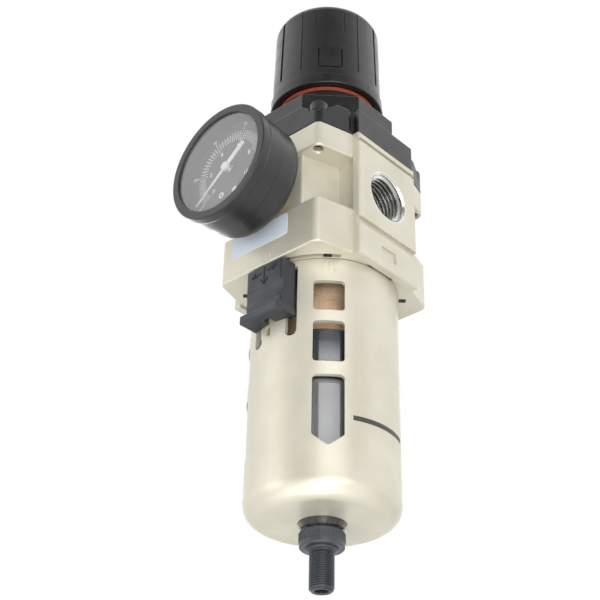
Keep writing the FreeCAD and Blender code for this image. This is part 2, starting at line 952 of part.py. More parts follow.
def z_guide_floor():
    """Floor of the pocket that holds the valve spring and guides the stem."""
    return z_body + socket_depth - tube_drop - guide_flange_h


def valve_guide():
    """Plug screwed into the body's tube: it guides the stem and holds the stud."""
    floor = z_guide_floor()
    web_top = floor + guide_web
    top = z_body + socket_depth - guide_top_below
    low = floor - guide_boss_h
    barrel = cyl(tube_bore_r - touch, floor, top)
    flange_part = cyl(tube_r, floor, floor + guide_flange_h - touch)
    boss = cyl(guide_boss_r, low, floor + bury)
    well = ring(guide_well_r, valve_stem_r + guide_tube_wall, web_top, top + past)
    stem_hole = cyl(valve_stem_r + sliding, web_top, top + past)
    stud_hole = cyl(stud_r + touch, low - past, floor - stud_web)
    vent = moved(cyl(guide_vent_r, low - past, web_top + past), x=guide_vent_at)
    return cut(fuse(barrel, flange_part, boss), well, stem_hole, stud_hole, *around(vent, guide_vents, 45))


def valve_spring():
    low = z_guide_floor() + guide_web + touch
    high = z_seat_face() - valve_seal_h - valve_head_h - 2 * touch
    return coil(valve_spring_mean_r, valve_spring_wire_r, low, high, valve_spring_turns)


def z_deflector():
    return z_body + socket_depth - deflector_below - deflector_h


def deflector():
    """Slanted vanes under the body: they set the entering air spinning."""
    low = z_deflector()
    top = low + deflector_h
    inner = tube_r + loose
    sleeve = ring(inner + deflector_sleeve, inner, low, top)
    floor = cyl(deflector_r, low, low + deflector_floor)
    half = deflector_vane_w / 2
    blade = box(inner + bury, deflector_r - deflector_vane_inset, -half, half, low + bury, top)
    leaned = turned(blade, deflector_vane_lean, V(deflector_r, 0, (low + top) / 2), V(1, 0, 0))
    space = ring(deflector_r, inner + bury, low + bury, top)
    vanes = [vane.common(space) for vane in around(leaned, deflector_vanes)]
    hole = cyl(guide_boss_r + loose, low - past, low + deflector_floor + past)
    return cut(fuse(sleeve, floor, *vanes), hole)


def filter_element():
    top = z_deflector()
    return ring(element_r, element_bore_r, top - element_h + touch, top - touch)


def baffle():
    """Cup under the element: it keeps the water below still."""
    top = z_deflector() - element_h
    low = top - baffle_floor
    floor = cyl(baffle_r, low, top)
    skirt = ring(baffle_r, baffle_r - baffle_wall, low - baffle_skirt_h, top - bury)
    hub = cyl(baffle_hub_r, low - baffle_hub_h, low + bury)
    half = baffle_spoke_half
    spoke = box(0, baffle_r - bury, -half, half, low - baffle_spoke_h, low + bury)
    locator_r = element_bore_r - loose
    locator = ring(locator_r, locator_r - locator_wall, top - bury, top + locator_h)
    stud = cyl(stud_r, low, z_guide_floor() - stud_web - loose)
    return fuse(floor, skirt, hub, stud, locator, *around(spoke, baffle_spokes))


def z_bowl_floor():
    return z_guard + guard_wall + touch


def clear_bowl():
    floor = z_bowl_floor()
    top = z_body + socket_depth - bowl_end_gap
    inner = bowl_r - bowl_wall
    bottom_r = bowl_r - bowl_corner_r
    shape = lathe([
        (barrel_stem_r + touch, z_boss),
        (bowl_boss_r, z_boss),
        (bowl_boss_r, floor),
        (bottom_r, floor),
        bend(bottom_r, floor + bowl_corner_r, bowl_corner_r, -90, 0),
        (bowl_r, top - bowl_rim_chamfer),
        (bowl_r - bowl_rim_chamfer, top),
        (inner, top),
        (inner, floor + bowl_corner_r),
        bend(bottom_r, floor + bowl_corner_r, bowl_corner_r - bowl_wall, 0, -90),
        (barrel_stem_r + touch, floor + bowl_wall),
    ])
    middle = z_bowl_ring()
    half = seal_groove_half
    return shape.cut(ring(bowl_r + past, bowl_r - seal_groove_depth, middle - half, middle + half))


def z_bowl_ring():
    return z_body + neck_depth + seal_above


def bowl_seal():
    """Seal in the bowl's groove, flattened where it meets the socket and the groove."""
    middle = z_bowl_ring()
    shape = torus(bowl_r - loose, bowl_ring_wire_r, middle)
    inner = bowl_r - seal_groove_depth + touch
    half = bowl_ring_wire_r
    return shape.common(ring(bowl_r + loose - touch, inner, middle - half, middle + half))


def window(index):
    """Tool for one window, standing out along +X."""
    top = z_guard_top - window_tops[index]
    low = top - window_hs[index]
    half = window_w / 2
    points = [(-half, low), (half, low), (half, top), (-half, top)]
    if index == len(window_tops) - 1:
        points.insert(1, (0, low - window_point))
    corners = [V(guard_r - guard_wall - past, y, z) for y, z in points]
    tool = Part.Face(Part.makePolygon(corners + corners[:1])).extrude(V(guard_wall + 2 * past, 0, 0))
    along = [e for e in tool.Edges if e.BoundBox.XLength > guard_wall]
    return tool.makeFillet(window_corner_r, along)


def guard_slots():
    """The two slots beside the tongue that the lock button's hooks ride in."""
    low = z_guard_top - slot_bottom
    top = z_guard_top - slot_top
    inner = guard_r - guard_wall - past
    outer = guard_r + past
    tools = []
    for a0, a1 in ((slot_from, slot_to), (-slot_to, -slot_from)):
        half = radians(a1 - a0) / 2 * guard_r
        middle = FRONT + (a0 + a1) / 2
        tools.append(turned(cyl_x(half, inner, outer, low + half), middle))
        tools.append(sector(inner, outer, FRONT + a0, FRONT + a1, low + half, top))
    return tools


def bowl_guard():
    lug_low = z_body + bayonet_above
    half = lug_arc / 2
    lug = sector(neck_r - bury, neck_r + bayonet_reach, -half, half, lug_low, lug_low + bayonet_h)
    lugs = [turned(lug, lug_angle(i)) for i in range(lug_count)]
    mark_low = z_guard_top - guard_mark_top - guard_mark_h
    half = mark_w / 2
    mark = box(guard_r - bury, guard_r + mark_proud, -half, half, mark_low, mark_low + guard_mark_h)
    marks = [turned(mark, FRONT / 2 + guard_mark_step * i) for i in (-1, 0, 1)]
    tab_top = z_guard_top - tab_below
    half = tab_w / 2
    tab = box(-half, half, -button_pocket_y() - tab_past_spring, -guard_r + bury, tab_top - tab_h, tab_top)
    tools = guard_slots() + [peep_hole()]
    for i in range(len(window_tops)):
        tools += [turned(window(i), angle) for angle in window_angles]
    return cut(fuse(guard_shell(), tab, *lugs, *marks), *tools)


def peep_hole():
    top = z_guard_top - button_top - button_h - peep_below
    half = peep_w / 2
    inner = -guard_r + guard_wall + past
    return box(peep_x - half, peep_x + half, -guard_r - past, inner, top - peep_h, top)


def guard_shell():
    inner = guard_r - guard_wall
    neck_in = neck_r - guard_neck_wall
    neck_top = z_body + neck_depth - guard_neck_gap
    corner_in = guard_corner_r - guard_wall
    step = z_guard_top - guard_step_h
    return lathe([
        (bowl_boss_r + loose, z_guard),
        (guard_r - guard_corner_r, z_guard),
        bend(guard_r - guard_corner_r, z_guard + guard_corner_r, guard_corner_r, -90, 0),
        (guard_r, z_guard_top),
        (neck_r, z_guard_top),
        (neck_r, neck_top),
        (neck_in, neck_top),
        (neck_in, step),
        (inner, step - guard_step_slope),
        (inner, z_guard + guard_corner_r),
        bend(inner - corner_in, z_guard + guard_corner_r, corner_in, 0, -90),
        (bowl_boss_r + loose, z_guard + guard_wall),
    ])


def button_pocket_y():
    """Distance of the lock spring's axis: its well keeps a wall behind the finger dip."""
    return guard_r + loose + button_pocket_r


def lock_button():
    """Push-down catch: hooks ride in the guard's slots, a nose enters the body."""
    top = z_guard_top - button_top
    low = top - button_h
    block = box(-button_half, button_half, -button_face, 0, low, top)
    front_edges = [e for e in upright(block) if e.BoundBox.Center.y < -button_face + touch]
    block = block.makeFillet(button_edge_r, front_edges)
    lip_half = button_half + button_lip_side
    lip = box(-lip_half, lip_half, -button_lip_face, 0, low, low + button_lip_h)
    lip_edges = [e for e in lip.Edges if e.BoundBox.YMax < -button_lip_face + touch]
    lip = lip.makeFillet(button_lip_edge_r, lip_edges)
    dip_z = low + button_lip_h + dip_above_lip
    finger_dip = cyl_x(dip_r, -button_half - past, button_half + past, dip_z, -button_face - dip_out)
    outer = fuse(block.cut(finger_dip), lip).cut(cyl(guard_r + turn_gap, low - past, top + past))
    half = nose_thick / 2
    a0, a1 = FRONT - nose_angle(), FRONT + nose_angle()
    nose = sector(nose_r - half, nose_r + half, a0, a1, top - bury, z_body + nose_groove_h - nose_end_gap)
    return cut(fuse(outer, nose, *button_hooks()), spring_well(low))


def button_hooks():
    """Two hooks that pass through the guard's slots and grip its inner face."""
    low = z_guard_top - slot_bottom + button_travel + hook_above
    top = z_guard_top - slot_top - end_gap
    inner = bowl_r + turn_gap
    far = slot_to - hook_far_gap
    hooks = []
    for side in (-1, 1):
        a0, a1 = sorted((side * (slot_from + hook_near_gap), side * far))
        b0, b1 = sorted((side * (slot_from - hook_reach), side * far))
        hooks.append(sector(inner, guard_r + turn_gap + bury, FRONT + a0, FRONT + a1, low, top))
        hooks.append(sector(inner, inner + hook_lip, FRONT + b0, FRONT + b1, low, top))
    return hooks


def spring_well(low):
    """Room in the button for its spring, open towards the guard and below."""
    top = z_guard_top - tab_below + lock_spring_h
    r = button_pocket_r
    deep = button_pocket_y()
    return fuse(cyl(r, low - past, top, 0, -deep), box(-r, r, -deep, -guard_r, low - past, top))


def lock_spring():
    low = z_guard_top - tab_below + touch
    high = low + lock_spring_h - 2 * touch
    return coil(lock_spring_mean_r, lock_spring_wire_r, low, high, lock_spring_turns, 0, -button_pocket_y())


def z_flange_in_bowl():
    return z_bowl_floor() + bowl_wall + touch


def drain_barrel():
    """Threaded outlet that passes through the drain ring and the bowl's boss."""
    flange_low = z_flange_in_bowl()
    flange_top = flange_low + barrel_flange_h
    thread_end = z_ring - flare_h
    return lathe([
        (barrel_bore_r, 0),
        (drain_thread_r - barrel_chamfer, 0),
        (drain_thread_r, barrel_chamfer),
        (drain_thread_r, thread_end - thread_relief),
        (flare_r, z_ring - flare_edge),
        (flare_r, z_ring - touch),
        (barrel_stem_r, z_ring - touch),
        (barrel_stem_r, flange_low),
        (barrel_flange_r, flange_low),
        (barrel_flange_r, flange_top),
        (spigot_r, flange_top),
        (spigot_r, flange_top + spigot_h),
        (barrel_bore_r, flange_top + spigot_h),
    ])


def drain_ring():
    shape = ring(drain_ring_r, barrel_stem_r + sliding, z_ring, z_ring_top)
    return shape.makeChamfer(drain_ring_chamfer, outer_rims(shape, drain_ring_r))


def drain_seal():
    return ring(bowl_boss_r - drain_seal_inset, barrel_stem_r + touch, z_ring_top + touch, z_boss - touch)


def float_guide():
    """Upright tube that the float rides on, standing on the barrel's flange."""
    low = z_flange_in_bowl() + barrel_flange_h + touch
    top = low + guide_h
    tube = ring(guide_r, guide_r - guide_wall, low, top)
    foot = ring(guide_r, spigot_r + touch, low, low + guide_foot_h)
    cap = cyl(guide_cap_r, top, top + guide_cap_h)
    stop = ring(guide_r + float_stop, guide_r - guide_wall / 2, z_float() - float_stop_h, z_float() - touch)
    port = cyl_x(guide_port_r, guide_r - guide_wall - past, guide_r + past, low + guide_port_above)
    cap_hole = cyl(pilot_rod_r + sliding, top - past, top + guide_cap_h + past)
    return cut(fuse(tube, foot, cap, stop), cap_hole, *around(port, guide_ports))


def z_float():
    return z_flange_in_bowl() + barrel_flange_h + touch + guide_h - float_lift - float_h - end_gap


def float_body():
    """Hollow float, closed all round, open along its middle."""
    low = z_float()
    top = low + float_h
    bore = guide_r + float_bore_gap
    shell = ring(float_r, bore, low, top)
    shell = shell.makeFillet(float_edge_r, outer_rims(shell, float_r))
    return shell.cut(ring(float_r - float_wall, bore + float_wall, low + float_wall, top - float_wall))


def pilot_valve():
    """Rod with a disc that closes the barrel's spigot until the float lifts it."""
    foot = z_flange_in_bowl() + barrel_flange_h
    seat = foot + spigot_h + touch
    disc = cyl(pilot_disc_r, seat, seat + pilot_disc_h)
    return fuse(disc, cyl(pilot_rod_r, seat, foot + guide_h + guide_cap_h + end_gap))


def gauge_case():
    """Turned case, hollow behind the dial; heights here run along Y."""
    front = -(gauge_front - bezel_h)
    back = -case_back
    back_r = case_r - case_step
    bend_r = back_r - case_back_r
    inner_r = back_r - case_wall
    shape = lathe([
        (case_r - case_wall, front),
        (case_r, front),
        (case_r, -case_step_from),
        (back_r, -case_step_from + case_step_slope),
        (back_r, back - bend_r),
        bend(case_back_r, back - bend_r, bend_r, 0, 90),
        (gauge_collar_r, back),
        (gauge_collar_r, back - case_wall),
        (inner_r - case_inner_bevel, back - case_wall),
        (inner_r, back - case_wall - case_inner_bevel),
    ], "Y")
    return moved(shape, z=z_gauge)


def gauge_bezel():
    front = -gauge_front
    back = front + bezel_h - touch
    shape = lathe([
        (window_r, front + bezel_bevel),
        (window_r + bezel_bevel, front),
        (bezel_r - bezel_edge_r, front),
        bend(bezel_r - bezel_edge_r, front + bezel_edge_r, bezel_edge_r, -90, 0),
        (bezel_r, back - bezel_back_h),
        (bezel_r - bezel_back_in, back),
        (glass_r + touch, back),
        (glass_r + touch, front + bezel_lip),
        (window_r, front + bezel_lip),
    ], "Y")
    return moved(shape, z=z_gauge)


def gauge_glass():
    low = -gauge_front + bezel_lip + touch
    return cyl_y(glass_r, low, low + glass_h, z_gauge)


def gauge_dial():
    disc = cyl_y(dial_r, -dial_face, -dial_face + dial_h, z_gauge)
    return disc.cut(cyl_y(dial_hole_r, -dial_face - past, -dial_face + dial_h + past, z_gauge))


def gauge_pointer():
    """Pointer with its tail and arbor, drawn along +X and turned to zero."""
    y0 = -pointer_face
    wide, fine = pointer_root_half, pointer_tip_half
    corners = [V(0, y0, wide), V(pointer_tip, y0, fine), V(pointer_tip, y0, -fine), V(0, y0, -wide)]
    blade = Part.Face(Part.makePolygon(corners + corners[:1])).extrude(V(0, pointer_h, 0))
    tail = box(-pointer_tail, 0, y0, y0 + pointer_h, -pointer_w / 2, pointer_w / 2)
    hub = cyl_y(pointer_hub_r, y0 - pointer_hub_proud, y0 + pointer_h + pointer_hub_proud, 0)
    arbor = cyl_y(arbor_r, y0, y0 + movement_reach(), 0)
    shape = fuse(blade, tail, hub, arbor)
    return moved(turned(shape, -pointer_zero, V(0, 0, 0), ACROSS), z=z_gauge)


def movement_reach():
    """Length of the arbor, from the pointer to behind the movement."""
    return pointer_face - dial_face + dial_h + 2 * movement_plate + movement_gap + end_gap


def y_movement():
    return -dial_face + dial_h + touch


def gauge_movement():
    """Two plates on pillars that carry the pointer's arbor."""
    y0 = y_movement()
    y1 = y0 + movement_plate + movement_gap
    half = movement_half
    at = half - pillar_inset
    plates = [box(-half, half, y, y + movement_plate, -half, half) for y in (y0, y1)]
    pillars = [cyl_y(pillar_r, y0 + bury, y1 + bury, z, x) for x in (-at, at) for z in (-at, at)]
    hole = cyl_y(arbor_r + sliding, y0 - past, y1 + movement_plate + past, 0)
    return moved(fuse(*plates, *pillars).cut(hole), z=z_gauge)


def gauge_stem():
    """Brass stem: threaded end in the body, hexagon, and socket inside the case."""
    y_hex = -trunk_face() - hex_gap
    y_thread = -trunk_face() + gauge_port_depth - bite
    y_wall = -case_back - case_wall
    front = socket_front()
    half = socket_half
    threaded = cyl_y(gauge_thread_r - sliding, y_hex - bury, y_thread, z_gauge)
    hexagon_part = along_y(hexagon(hex_flats, -y_hex, case_back - touch))
    collar = cyl_y(gauge_collar_r - touch, y_wall - past, -case_back + past, z_gauge)
    socket = moved(box(-half, half, front, y_wall - touch, -half, half), z=z_gauge)
    bore = cyl_y(stem_bore_r, y_hex - stem_bore_in, y_thread + past, z_gauge)
    arbor_room = cyl_y(arbor_r + loose, front - past, front + bite, z_gauge)
    return cut(fuse(threaded, hexagon_part, collar, socket, tube_root()), bore, arbor_room)


def socket_front():
    return y_movement() + 2 * movement_plate + movement_gap + touch


def tube_root(grow=0.0):
    """Foot of the stem that holds the curved tube's fixed end."""
    half = tube_section_r + root_side + grow
    y = y_tube() - tube_section_r - root_front - grow
    front = socket_front()
    low = -tube_bend_r - tube_section_r - root_below - grow
    foot = box(-half, half, y, front + root_deep, low, -movement_half - root_gap + grow)
    post = box(-half, half, front, front + root_deep, low, 0)
    return moved(fuse(foot, post), z=z_gauge)


def y_tube():
    return y_movement() + movement_plate + movement_gap / 2


def bourdon_tube():
    """Curved pressure tube that bends open as the pressure rises."""
    section = Part.Face(Part.Wire(Part.makeCircle(tube_section_r, V(tube_bend_r, y_tube(), 0), UP)))
    tube = section.revolve(V(0, 0, 0), ACROSS, tube_arc)
    placed = moved(turned(tube, 90, V(0, 0, 0), ACROSS), z=z_gauge)
    return placed.cut(tube_root(touch))


def rear_plug():
    face = trunk_face()
    thread = cyl_y(gauge_thread_r - sliding, face - plug_length, face - plug_below, z_gauge)
    drive = turned(along_y(hexagon(plug_hex_flats, face - plug_hex_depth, face + past)), 180)
    return thread.cut(drive)


SUBPARTS = {
    "body_casting": body,
    "bonnet": bonnet,
    "bonnet_screws": bonnet_screws,
    "unlock_ring": unlock_ring,
    "knob": knob,
    "adjusting_screw": adjusting_screw,
    "thrust_washer": thrust_washer,
    "spring_seat": spring_seat,
    "adjusting_spring": adjusting_spring,
    "diaphragm": diaphragm,
    "diaphragm_plate": diaphragm_plate,
    "diaphragm_hub": diaphragm_hub,
    "valve_stem": valve_stem,
    "valve_seal": valve_seal,
    "valve_spring": valve_spring,
    "valve_guide": valve_guide,
    "deflector": deflector,
    "filter_element": filter_element,
    "baffle": baffle,
    "clear_bowl": clear_bowl,
    "bowl_seal": bowl_seal,
    "bowl_guard": bowl_guard,
    "lock_button": lock_button,
    "lock_spring": lock_spring,
    "drain_barrel": drain_barrel,
    "drain_ring": drain_ring,
    "drain_seal": drain_seal,
    "float_guide": float_guide,
    "float_body": float_body,
    "pilot_valve": pilot_valve,
    "gauge_case": gauge_case,
    "gauge_bezel": gauge_bezel,
    "gauge_glass": gauge_glass,
    "gauge_dial": gauge_dial,
    "gauge_pointer": gauge_pointer,
    "gauge_movement": gauge_movement,
    "gauge_stem": gauge_stem,
    "bourdon_tube": bourdon_tube,
    "rear_plug": rear_plug,
}


os.makedirs("parts", exist_ok=True)
for name, make in SUBPARTS.items():
    make().exportStep("parts/" + name + ".step")
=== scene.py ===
from math import ceil, cos, pi, radians, sin

import bmesh
import bpy
from mathutils import Matrix, Vector


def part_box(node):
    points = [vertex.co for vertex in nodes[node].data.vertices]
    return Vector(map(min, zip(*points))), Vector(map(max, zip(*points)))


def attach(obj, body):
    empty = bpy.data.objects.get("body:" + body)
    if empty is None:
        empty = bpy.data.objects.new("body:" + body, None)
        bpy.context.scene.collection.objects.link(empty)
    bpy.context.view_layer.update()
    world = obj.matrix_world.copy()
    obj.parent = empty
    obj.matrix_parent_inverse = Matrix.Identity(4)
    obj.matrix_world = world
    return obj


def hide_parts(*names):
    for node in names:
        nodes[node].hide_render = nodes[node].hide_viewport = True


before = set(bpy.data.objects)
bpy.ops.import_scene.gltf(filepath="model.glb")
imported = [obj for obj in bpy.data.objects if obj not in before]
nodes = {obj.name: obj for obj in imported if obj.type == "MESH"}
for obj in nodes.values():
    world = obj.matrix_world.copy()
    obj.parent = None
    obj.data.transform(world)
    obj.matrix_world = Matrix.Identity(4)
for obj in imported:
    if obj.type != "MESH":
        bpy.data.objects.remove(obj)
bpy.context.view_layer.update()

# An inline filter regulator, dressed around its solids. Lengths are in metres, angles in degrees.
# +Z runs up the main axis, +X is the outlet port and -Y is the front with the gauge.

MM = 0.001

# Places read from the frame
bezel_low, bezel_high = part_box("gauge_bezel")
ring_low, ring_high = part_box("drain_ring")
button_low, button_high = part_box("lock_button")
gauge_z = (bezel_low[2] + bezel_high[2]) / 2
dial_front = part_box("gauge_dial")[0][1]
barrel_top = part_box("drain_barrel")[1][2]
ring_bottom, ring_top = ring_low[2], ring_high[2]
ring_r = ring_high[0]

# Ports and their thread
port_z = 162.2 * MM
port_r = 10.48 * MM
port_minor_r = 9.32 * MM
port_pitch = 1.814 * MM
port_thread_from = 19.2 * MM
port_thread_to = 34.0 * MM
port_thread_sink = 0.05 * MM
port_bare_rim = 1.1 * MM
port_bare_from = 12.0 * MM

# Guard and the level stripe printed on it
guard_r = 30.7 * MM
# Faces that lean further inward than this get painted shade
guard_inward = -10.0 * MM
stripe_low = 56.3 * MM
stripe_h = 2.0 * MM
stripe_half_angle = 27.0
stripe_thick = 0.05 * MM

# Bare plate on the front of the lower flange
flange_front = -35.2 * MM
plate_x = (-20.5 * MM, 10.8 * MM)
plate_z = (136.6 * MM, 146.8 * MM)
plate_corner = 1.2 * MM
plate_thick = 0.12 * MM
plate_sink = 0.05 * MM

# Clear bowl, whose shine fades over the baffle
dull_from = 84.0 * MM
dull_to = 92.0 * MM
dull_share = 0.2

# Painted shade under the body: dark sheets in the slots at three of the guard's corners and in the lock
# button's track
body_under = 126.8 * MM
slot_turns = (-137.0, 45.0, 135.0)
slot_from = 31.2 * MM
slot_to = 34.2 * MM
slot_w = 2.8 * MM
slot_proud = 0.01 * MM
slot_sink = 0.1 * MM
track_wall_r = 31.18 * MM
track_turn = -46.5
track_half_angle = 3.2
track_low = 0.05 * MM
track_high = 1.6 * MM
track_thick = 0.02 * MM

# Sign moulded on the lock button
sign_down = 8.6 * MM
sign_inset = 2.6 * MM
sign_w = 0.62 * MM
sign_proud = 0.16 * MM
sign_sink = 0.2 * MM

# Drain barrel, from its threaded end upwards
drain_major_r = 4.86 * MM
drain_minor_r = 4.36 * MM
drain_pitch = 0.907 * MM
drain_bore_r = 2.6 * MM
drain_straight = 14.4 * MM
drain_chamfer = 0.9 * MM
bore_chamfer = 0.35 * MM
thread_end_gap = 0.4 * MM
groove_slope = 2.6
groove_land = 0.15
flare_r = 6.3 * MM
stem_r = 5.0 * MM
flange_r = 8.4 * MM
flange_h = 2.0 * MM
spigot_r = 3.6 * MM
spigot_h = 5.0 * MM
ring_gap = 0.02 * MM

# Knurl of the drain ring
knurl_count = 44
knurl_h = 3.4 * MM
knurl_r = 0.32 * MM
knurl_sink = 0.06 * MM
knurl_below = 0.7 * MM

# Scales of the gauge dial: one hangs inside its arc, the other stands outside its own
scale_start = 219.0
scale_sweep = 252.0
scale_steps = 50
scale_labels = 6
inner_arc_r = 15.5 * MM
outer_arc_r = 16.1 * MM
arc_w = 0.14 * MM
mark_long = 1.7 * MM
mark_w = 0.32 * MM
inner_major_long = 2.6 * MM
inner_major_w = 0.50 * MM
inner_major_past = 0.1 * MM
outer_major_long = 3.6 * MM
outer_major_w = 0.42 * MM
print_h = 0.06 * MM

# Figures, low ring and disc, and pins of the dial, placed from its middle
inner_figure_r = 11.2 * MM
inner_figure_size = 2.9 * MM
inner_figure_step = 2
outer_figure_r = 20.9 * MM
outer_figure_size = 1.9 * MM
outer_figure_step = 30
low_ring = Vector((-4.1 * MM, -11.1 * MM, 0))
low_disc = Vector((3.3 * MM, -11.5 * MM, 0))
right_pin = Vector((1.2 * MM, 0.9 * MM, 0))
left_pin = Vector((-0.5 * MM, -0.7 * MM, 0))
low_ring_r = 1.4 * MM
low_ring_hole_r = 0.6 * MM
pin_r = 0.45 * MM
pin_hole_r = 0.1 * MM

# Marks left by the lathe in bare bores and on turned metal, in radians per metre
bore_marks = 9000.0
lathe_marks = 5200.0

# Camera of the photograph
camera_azimuth = 42.919
camera_elevation = -31.262
camera_roll = 1.267
camera_distance = 532.28 * MM
camera_lens = 76.19
camera_sensor = 36.0
camera_near = 10.0 * MM
camera_target = Vector((-7.534 * MM, -7.007 * MM, 125.45 * MM))

# Stage: a floor well below, and a backdrop that is mirrored dark round the camera
floor_z = -420.0 * MM
floor_half = 6.0
soft_below = 0.44
soft_above = 0.34
gloss_aside = 1.40
gloss_at_camera = 0.12
gloss_from = 0.15
gloss_to = 0.80


def srgb(red, green, blue, alpha=1.0):
    """Linear colour of a colour given in 0 to 255."""
    def linear(c):
        c /= 255.0
        return c / 12.92 if c <= 0.04045 else ((c + 0.055) / 1.055) ** 2.4
    return (linear(red), linear(green), linear(blue), alpha)


class Wire:
    """An output socket: sums, products and comparisons on it add Math nodes."""

    def __init__(self, graph, socket):
        self.graph = graph
        self.socket = socket

    def __add__(self, other):
        return self.graph.math("ADD", self, other)

    def __sub__(self, other):
        return self.graph.math("SUBTRACT", self, other)

    def __rsub__(self, other):
        return self.graph.math("SUBTRACT", other, self)

    def __mul__(self, other):
        return self.graph.math("MULTIPLY", self, other)

    def __truediv__(self, other):
        return self.graph.math("DIVIDE", self, other)

    def __gt__(self, other):
        return self.graph.math("GREATER_THAN", self, other)

    def __lt__(self, other):
        return self.graph.math("LESS_THAN", self, other)

    __radd__ = __add__
    __rmul__ = __mul__


class Graph:
    """Adds nodes to a shader or geometry tree, settings first and then sockets."""

    def __init__(self, tree):
        self.tree = tree

    def node(self, kind, settings=None, inputs=None, output=0):
        made = self.tree.nodes.new(kind)
        for key, value in (settings or {}).items():
            setattr(made, key, value)
        for key, value in (inputs or {}).items():
            if isinstance(value, Wire):
                self.tree.links.new(value.socket, made.inputs[key])
            else:
                made.inputs[key].default_value = value
        return Wire(self, made.outputs[output]) if len(made.outputs) else made

    def split(self, vector):
        """X, Y and Z of a vector."""
        parts = self.tree.nodes.new("ShaderNodeSeparateXYZ")
        self.tree.links.new(vector.socket, parts.inputs[0])
        return [Wire(self, out) for out in parts.outputs]

    def math(self, operation, *values):
        return self.node("ShaderNodeMath", {"operation": operation}, dict(enumerate(values)))

    def mix(self, factor, first, second):
        """Colour between two colours. The Mix node's colour sockets are 6 and 7, and its result is 2."""
        return self.node("ShaderNodeMix", {"data_type": "RGBA"}, {0: factor, 6: first, 7: second}, 2)

    def ramp(self, value, low, high, start=0.0, end=1.0):
        """Value carried from one range to another, held at the ends."""
        wires = {"Value": value, "From Min": low, "From Max": high, "To Min": start, "To Max": end}
        return self.node("ShaderNodeMapRange", None, wires)

    def ray_kinds(self, names):
        """1 for rays of the named kinds, 0 for the others."""
        rays = self.tree.nodes.new("ShaderNodeLightPath")
        found = [Wire(self, rays.outputs[name]) for name in names]
        total = found[0]
        for one in found[1:]:
            total = self.math("MAXIMUM", total, one)
        return total


class Finish(Graph):
    """A material: its texture space, its edges and its closing shader."""

    def __init__(self, name):
        self.material = bpy.data.materials.new(name)
        self.material.use_nodes = True
        self.material.node_tree.nodes.clear()
        super().__init__(self.material.node_tree)
        self.place = self.node("ShaderNodeTexCoord", output="Object")
        self.x, self.y, self.z = self.split(self.place)

    def noise(self, scale, detail):
        inputs = {"Vector": self.place, "Scale": scale, "Detail": detail}
        return self.node("ShaderNodeTexNoise", None, inputs)

    def blend(self, first, second, share):
        """Two textures in one, the first with the given share."""
        return first * share + second * (1 - share)

    def waves(self, phase):
        """Even rings between 0 and 1."""
        return self.math("SINE", phase) * 0.5 + 0.5

    def radius(self, first, second):
        """Distance from an axis, from the two coordinates across it."""
        return self.math("SQRT", first * first + second * second)

    def normal(self, height, depth, edge=0.0, strength=1.0):
        """Relief on a surface whose edges are rounded off by a small radius."""
        inputs = {"Height": height, "Distance": depth, "Strength": strength}
        if edge:
            inputs["Normal"] = self.node("ShaderNodeBevel", {"samples": 4}, {"Radius": edge})
        return self.node("ShaderNodeBump", None, inputs)

    def close(self, **sockets):
        """Ends the material in a Principled shader; names use _ for a space."""
        inputs = {key.replace("_", " "): value for key, value in sockets.items()}
        shader = self.node("ShaderNodeBsdfPrincipled", None, inputs)
        self.node("ShaderNodeOutputMaterial", None, {"Surface": shader})
        return self.material


def bare_bores(f, color, rough, metallic):
    """Turns the paint into bare turned metal in the bores of both ports."""
    across = f.radius(f.y, f.z - port_z)
    bore = (across < port_r + port_bare_rim) * (f.math("ABSOLUTE", f.x) > port_bare_from)
    groove, crest = srgb(196, 195, 190), srgb(226, 226, 222)
    bare = f.mix(f.waves(across * bore_marks), groove, crest)
    shinier = rough - bore * 0.14
    return f.mix(bore, color, bare), shinier, f.ramp(bore, 0.0, 1.0, start=metallic, end=1.0)


def painted_inside_shade(f, color):
    """Paints shade into the colour of the faces that look towards the main axis, the inside of the guard.
    """
    facing = f.node("ShaderNodeTexCoord", output="Normal")
    outward = f.node("ShaderNodeCombineXYZ", None, {"X": f.x, "Y": f.y})
    lean = f.node("ShaderNodeVectorMath", {"operation": "DOT_PRODUCT"}, {0: facing, 1: outward}, "Value")
    # Colour of the painted shade on the guard's inside
    painted_shade_color = srgb(74, 73, 68)
    return f.mix(lean < guard_inward, color, painted_shade_color)


def cast_paint(name, dark, light, machined=False):
    """Satin champagne paint with fine flakes over a faintly rippled casting."""
    f = Finish(name)
    broad = f.noise(scale=55.0, detail=3.0)
    flake = f.noise(scale=5200.0, detail=1.0)
    ripple = f.noise(scale=900.0, detail=3.0)
    tone = f.ramp(f.blend(broad, flake, share=0.6), low=0.35, high=0.65)
    color = f.mix(tone, dark, light)
    rough = f.ramp(flake, low=0.3, high=0.7, start=0.34, end=0.46)
    metallic = 0.38
    if machined:
        color, rough, metallic = bare_bores(f, color, rough, metallic)
    else:
        # The guard's inside gets painted shade
        color = painted_inside_shade(f, color)
    normal = f.normal(f.blend(ripple, flake, share=0.7), depth=0.025 * MM, edge=0.35 * MM)
    return f.close(Base_Color=color, Metallic=metallic, Roughness=rough, Normal=normal,
                   Coat_Weight=0.18, Coat_Roughness=0.25)


def moulded(name, dark, light, rough=0.30, grain=2600.0, depth=0.012 * MM, edge=0.3 * MM):
    """Moulded plastic with a fine spark-eroded grain and faint handling marks."""
    f = Finish(name)
    spark = f.noise(scale=grain, detail=3.0)
    cloud = f.noise(scale=70.0, detail=4.0)
    marks = f.noise(scale=190.0, detail=5.0)
    tone = f.ramp(f.blend(spark, cloud, share=0.35), low=0.35, high=0.65)
    rubbed = f.ramp(marks, low=0.35, high=0.7, start=rough + 0.08, end=rough - 0.05)
    return f.close(Base_Color=f.mix(tone, dark, light), Roughness=rubbed,
                   Normal=f.normal(spark, depth, edge))


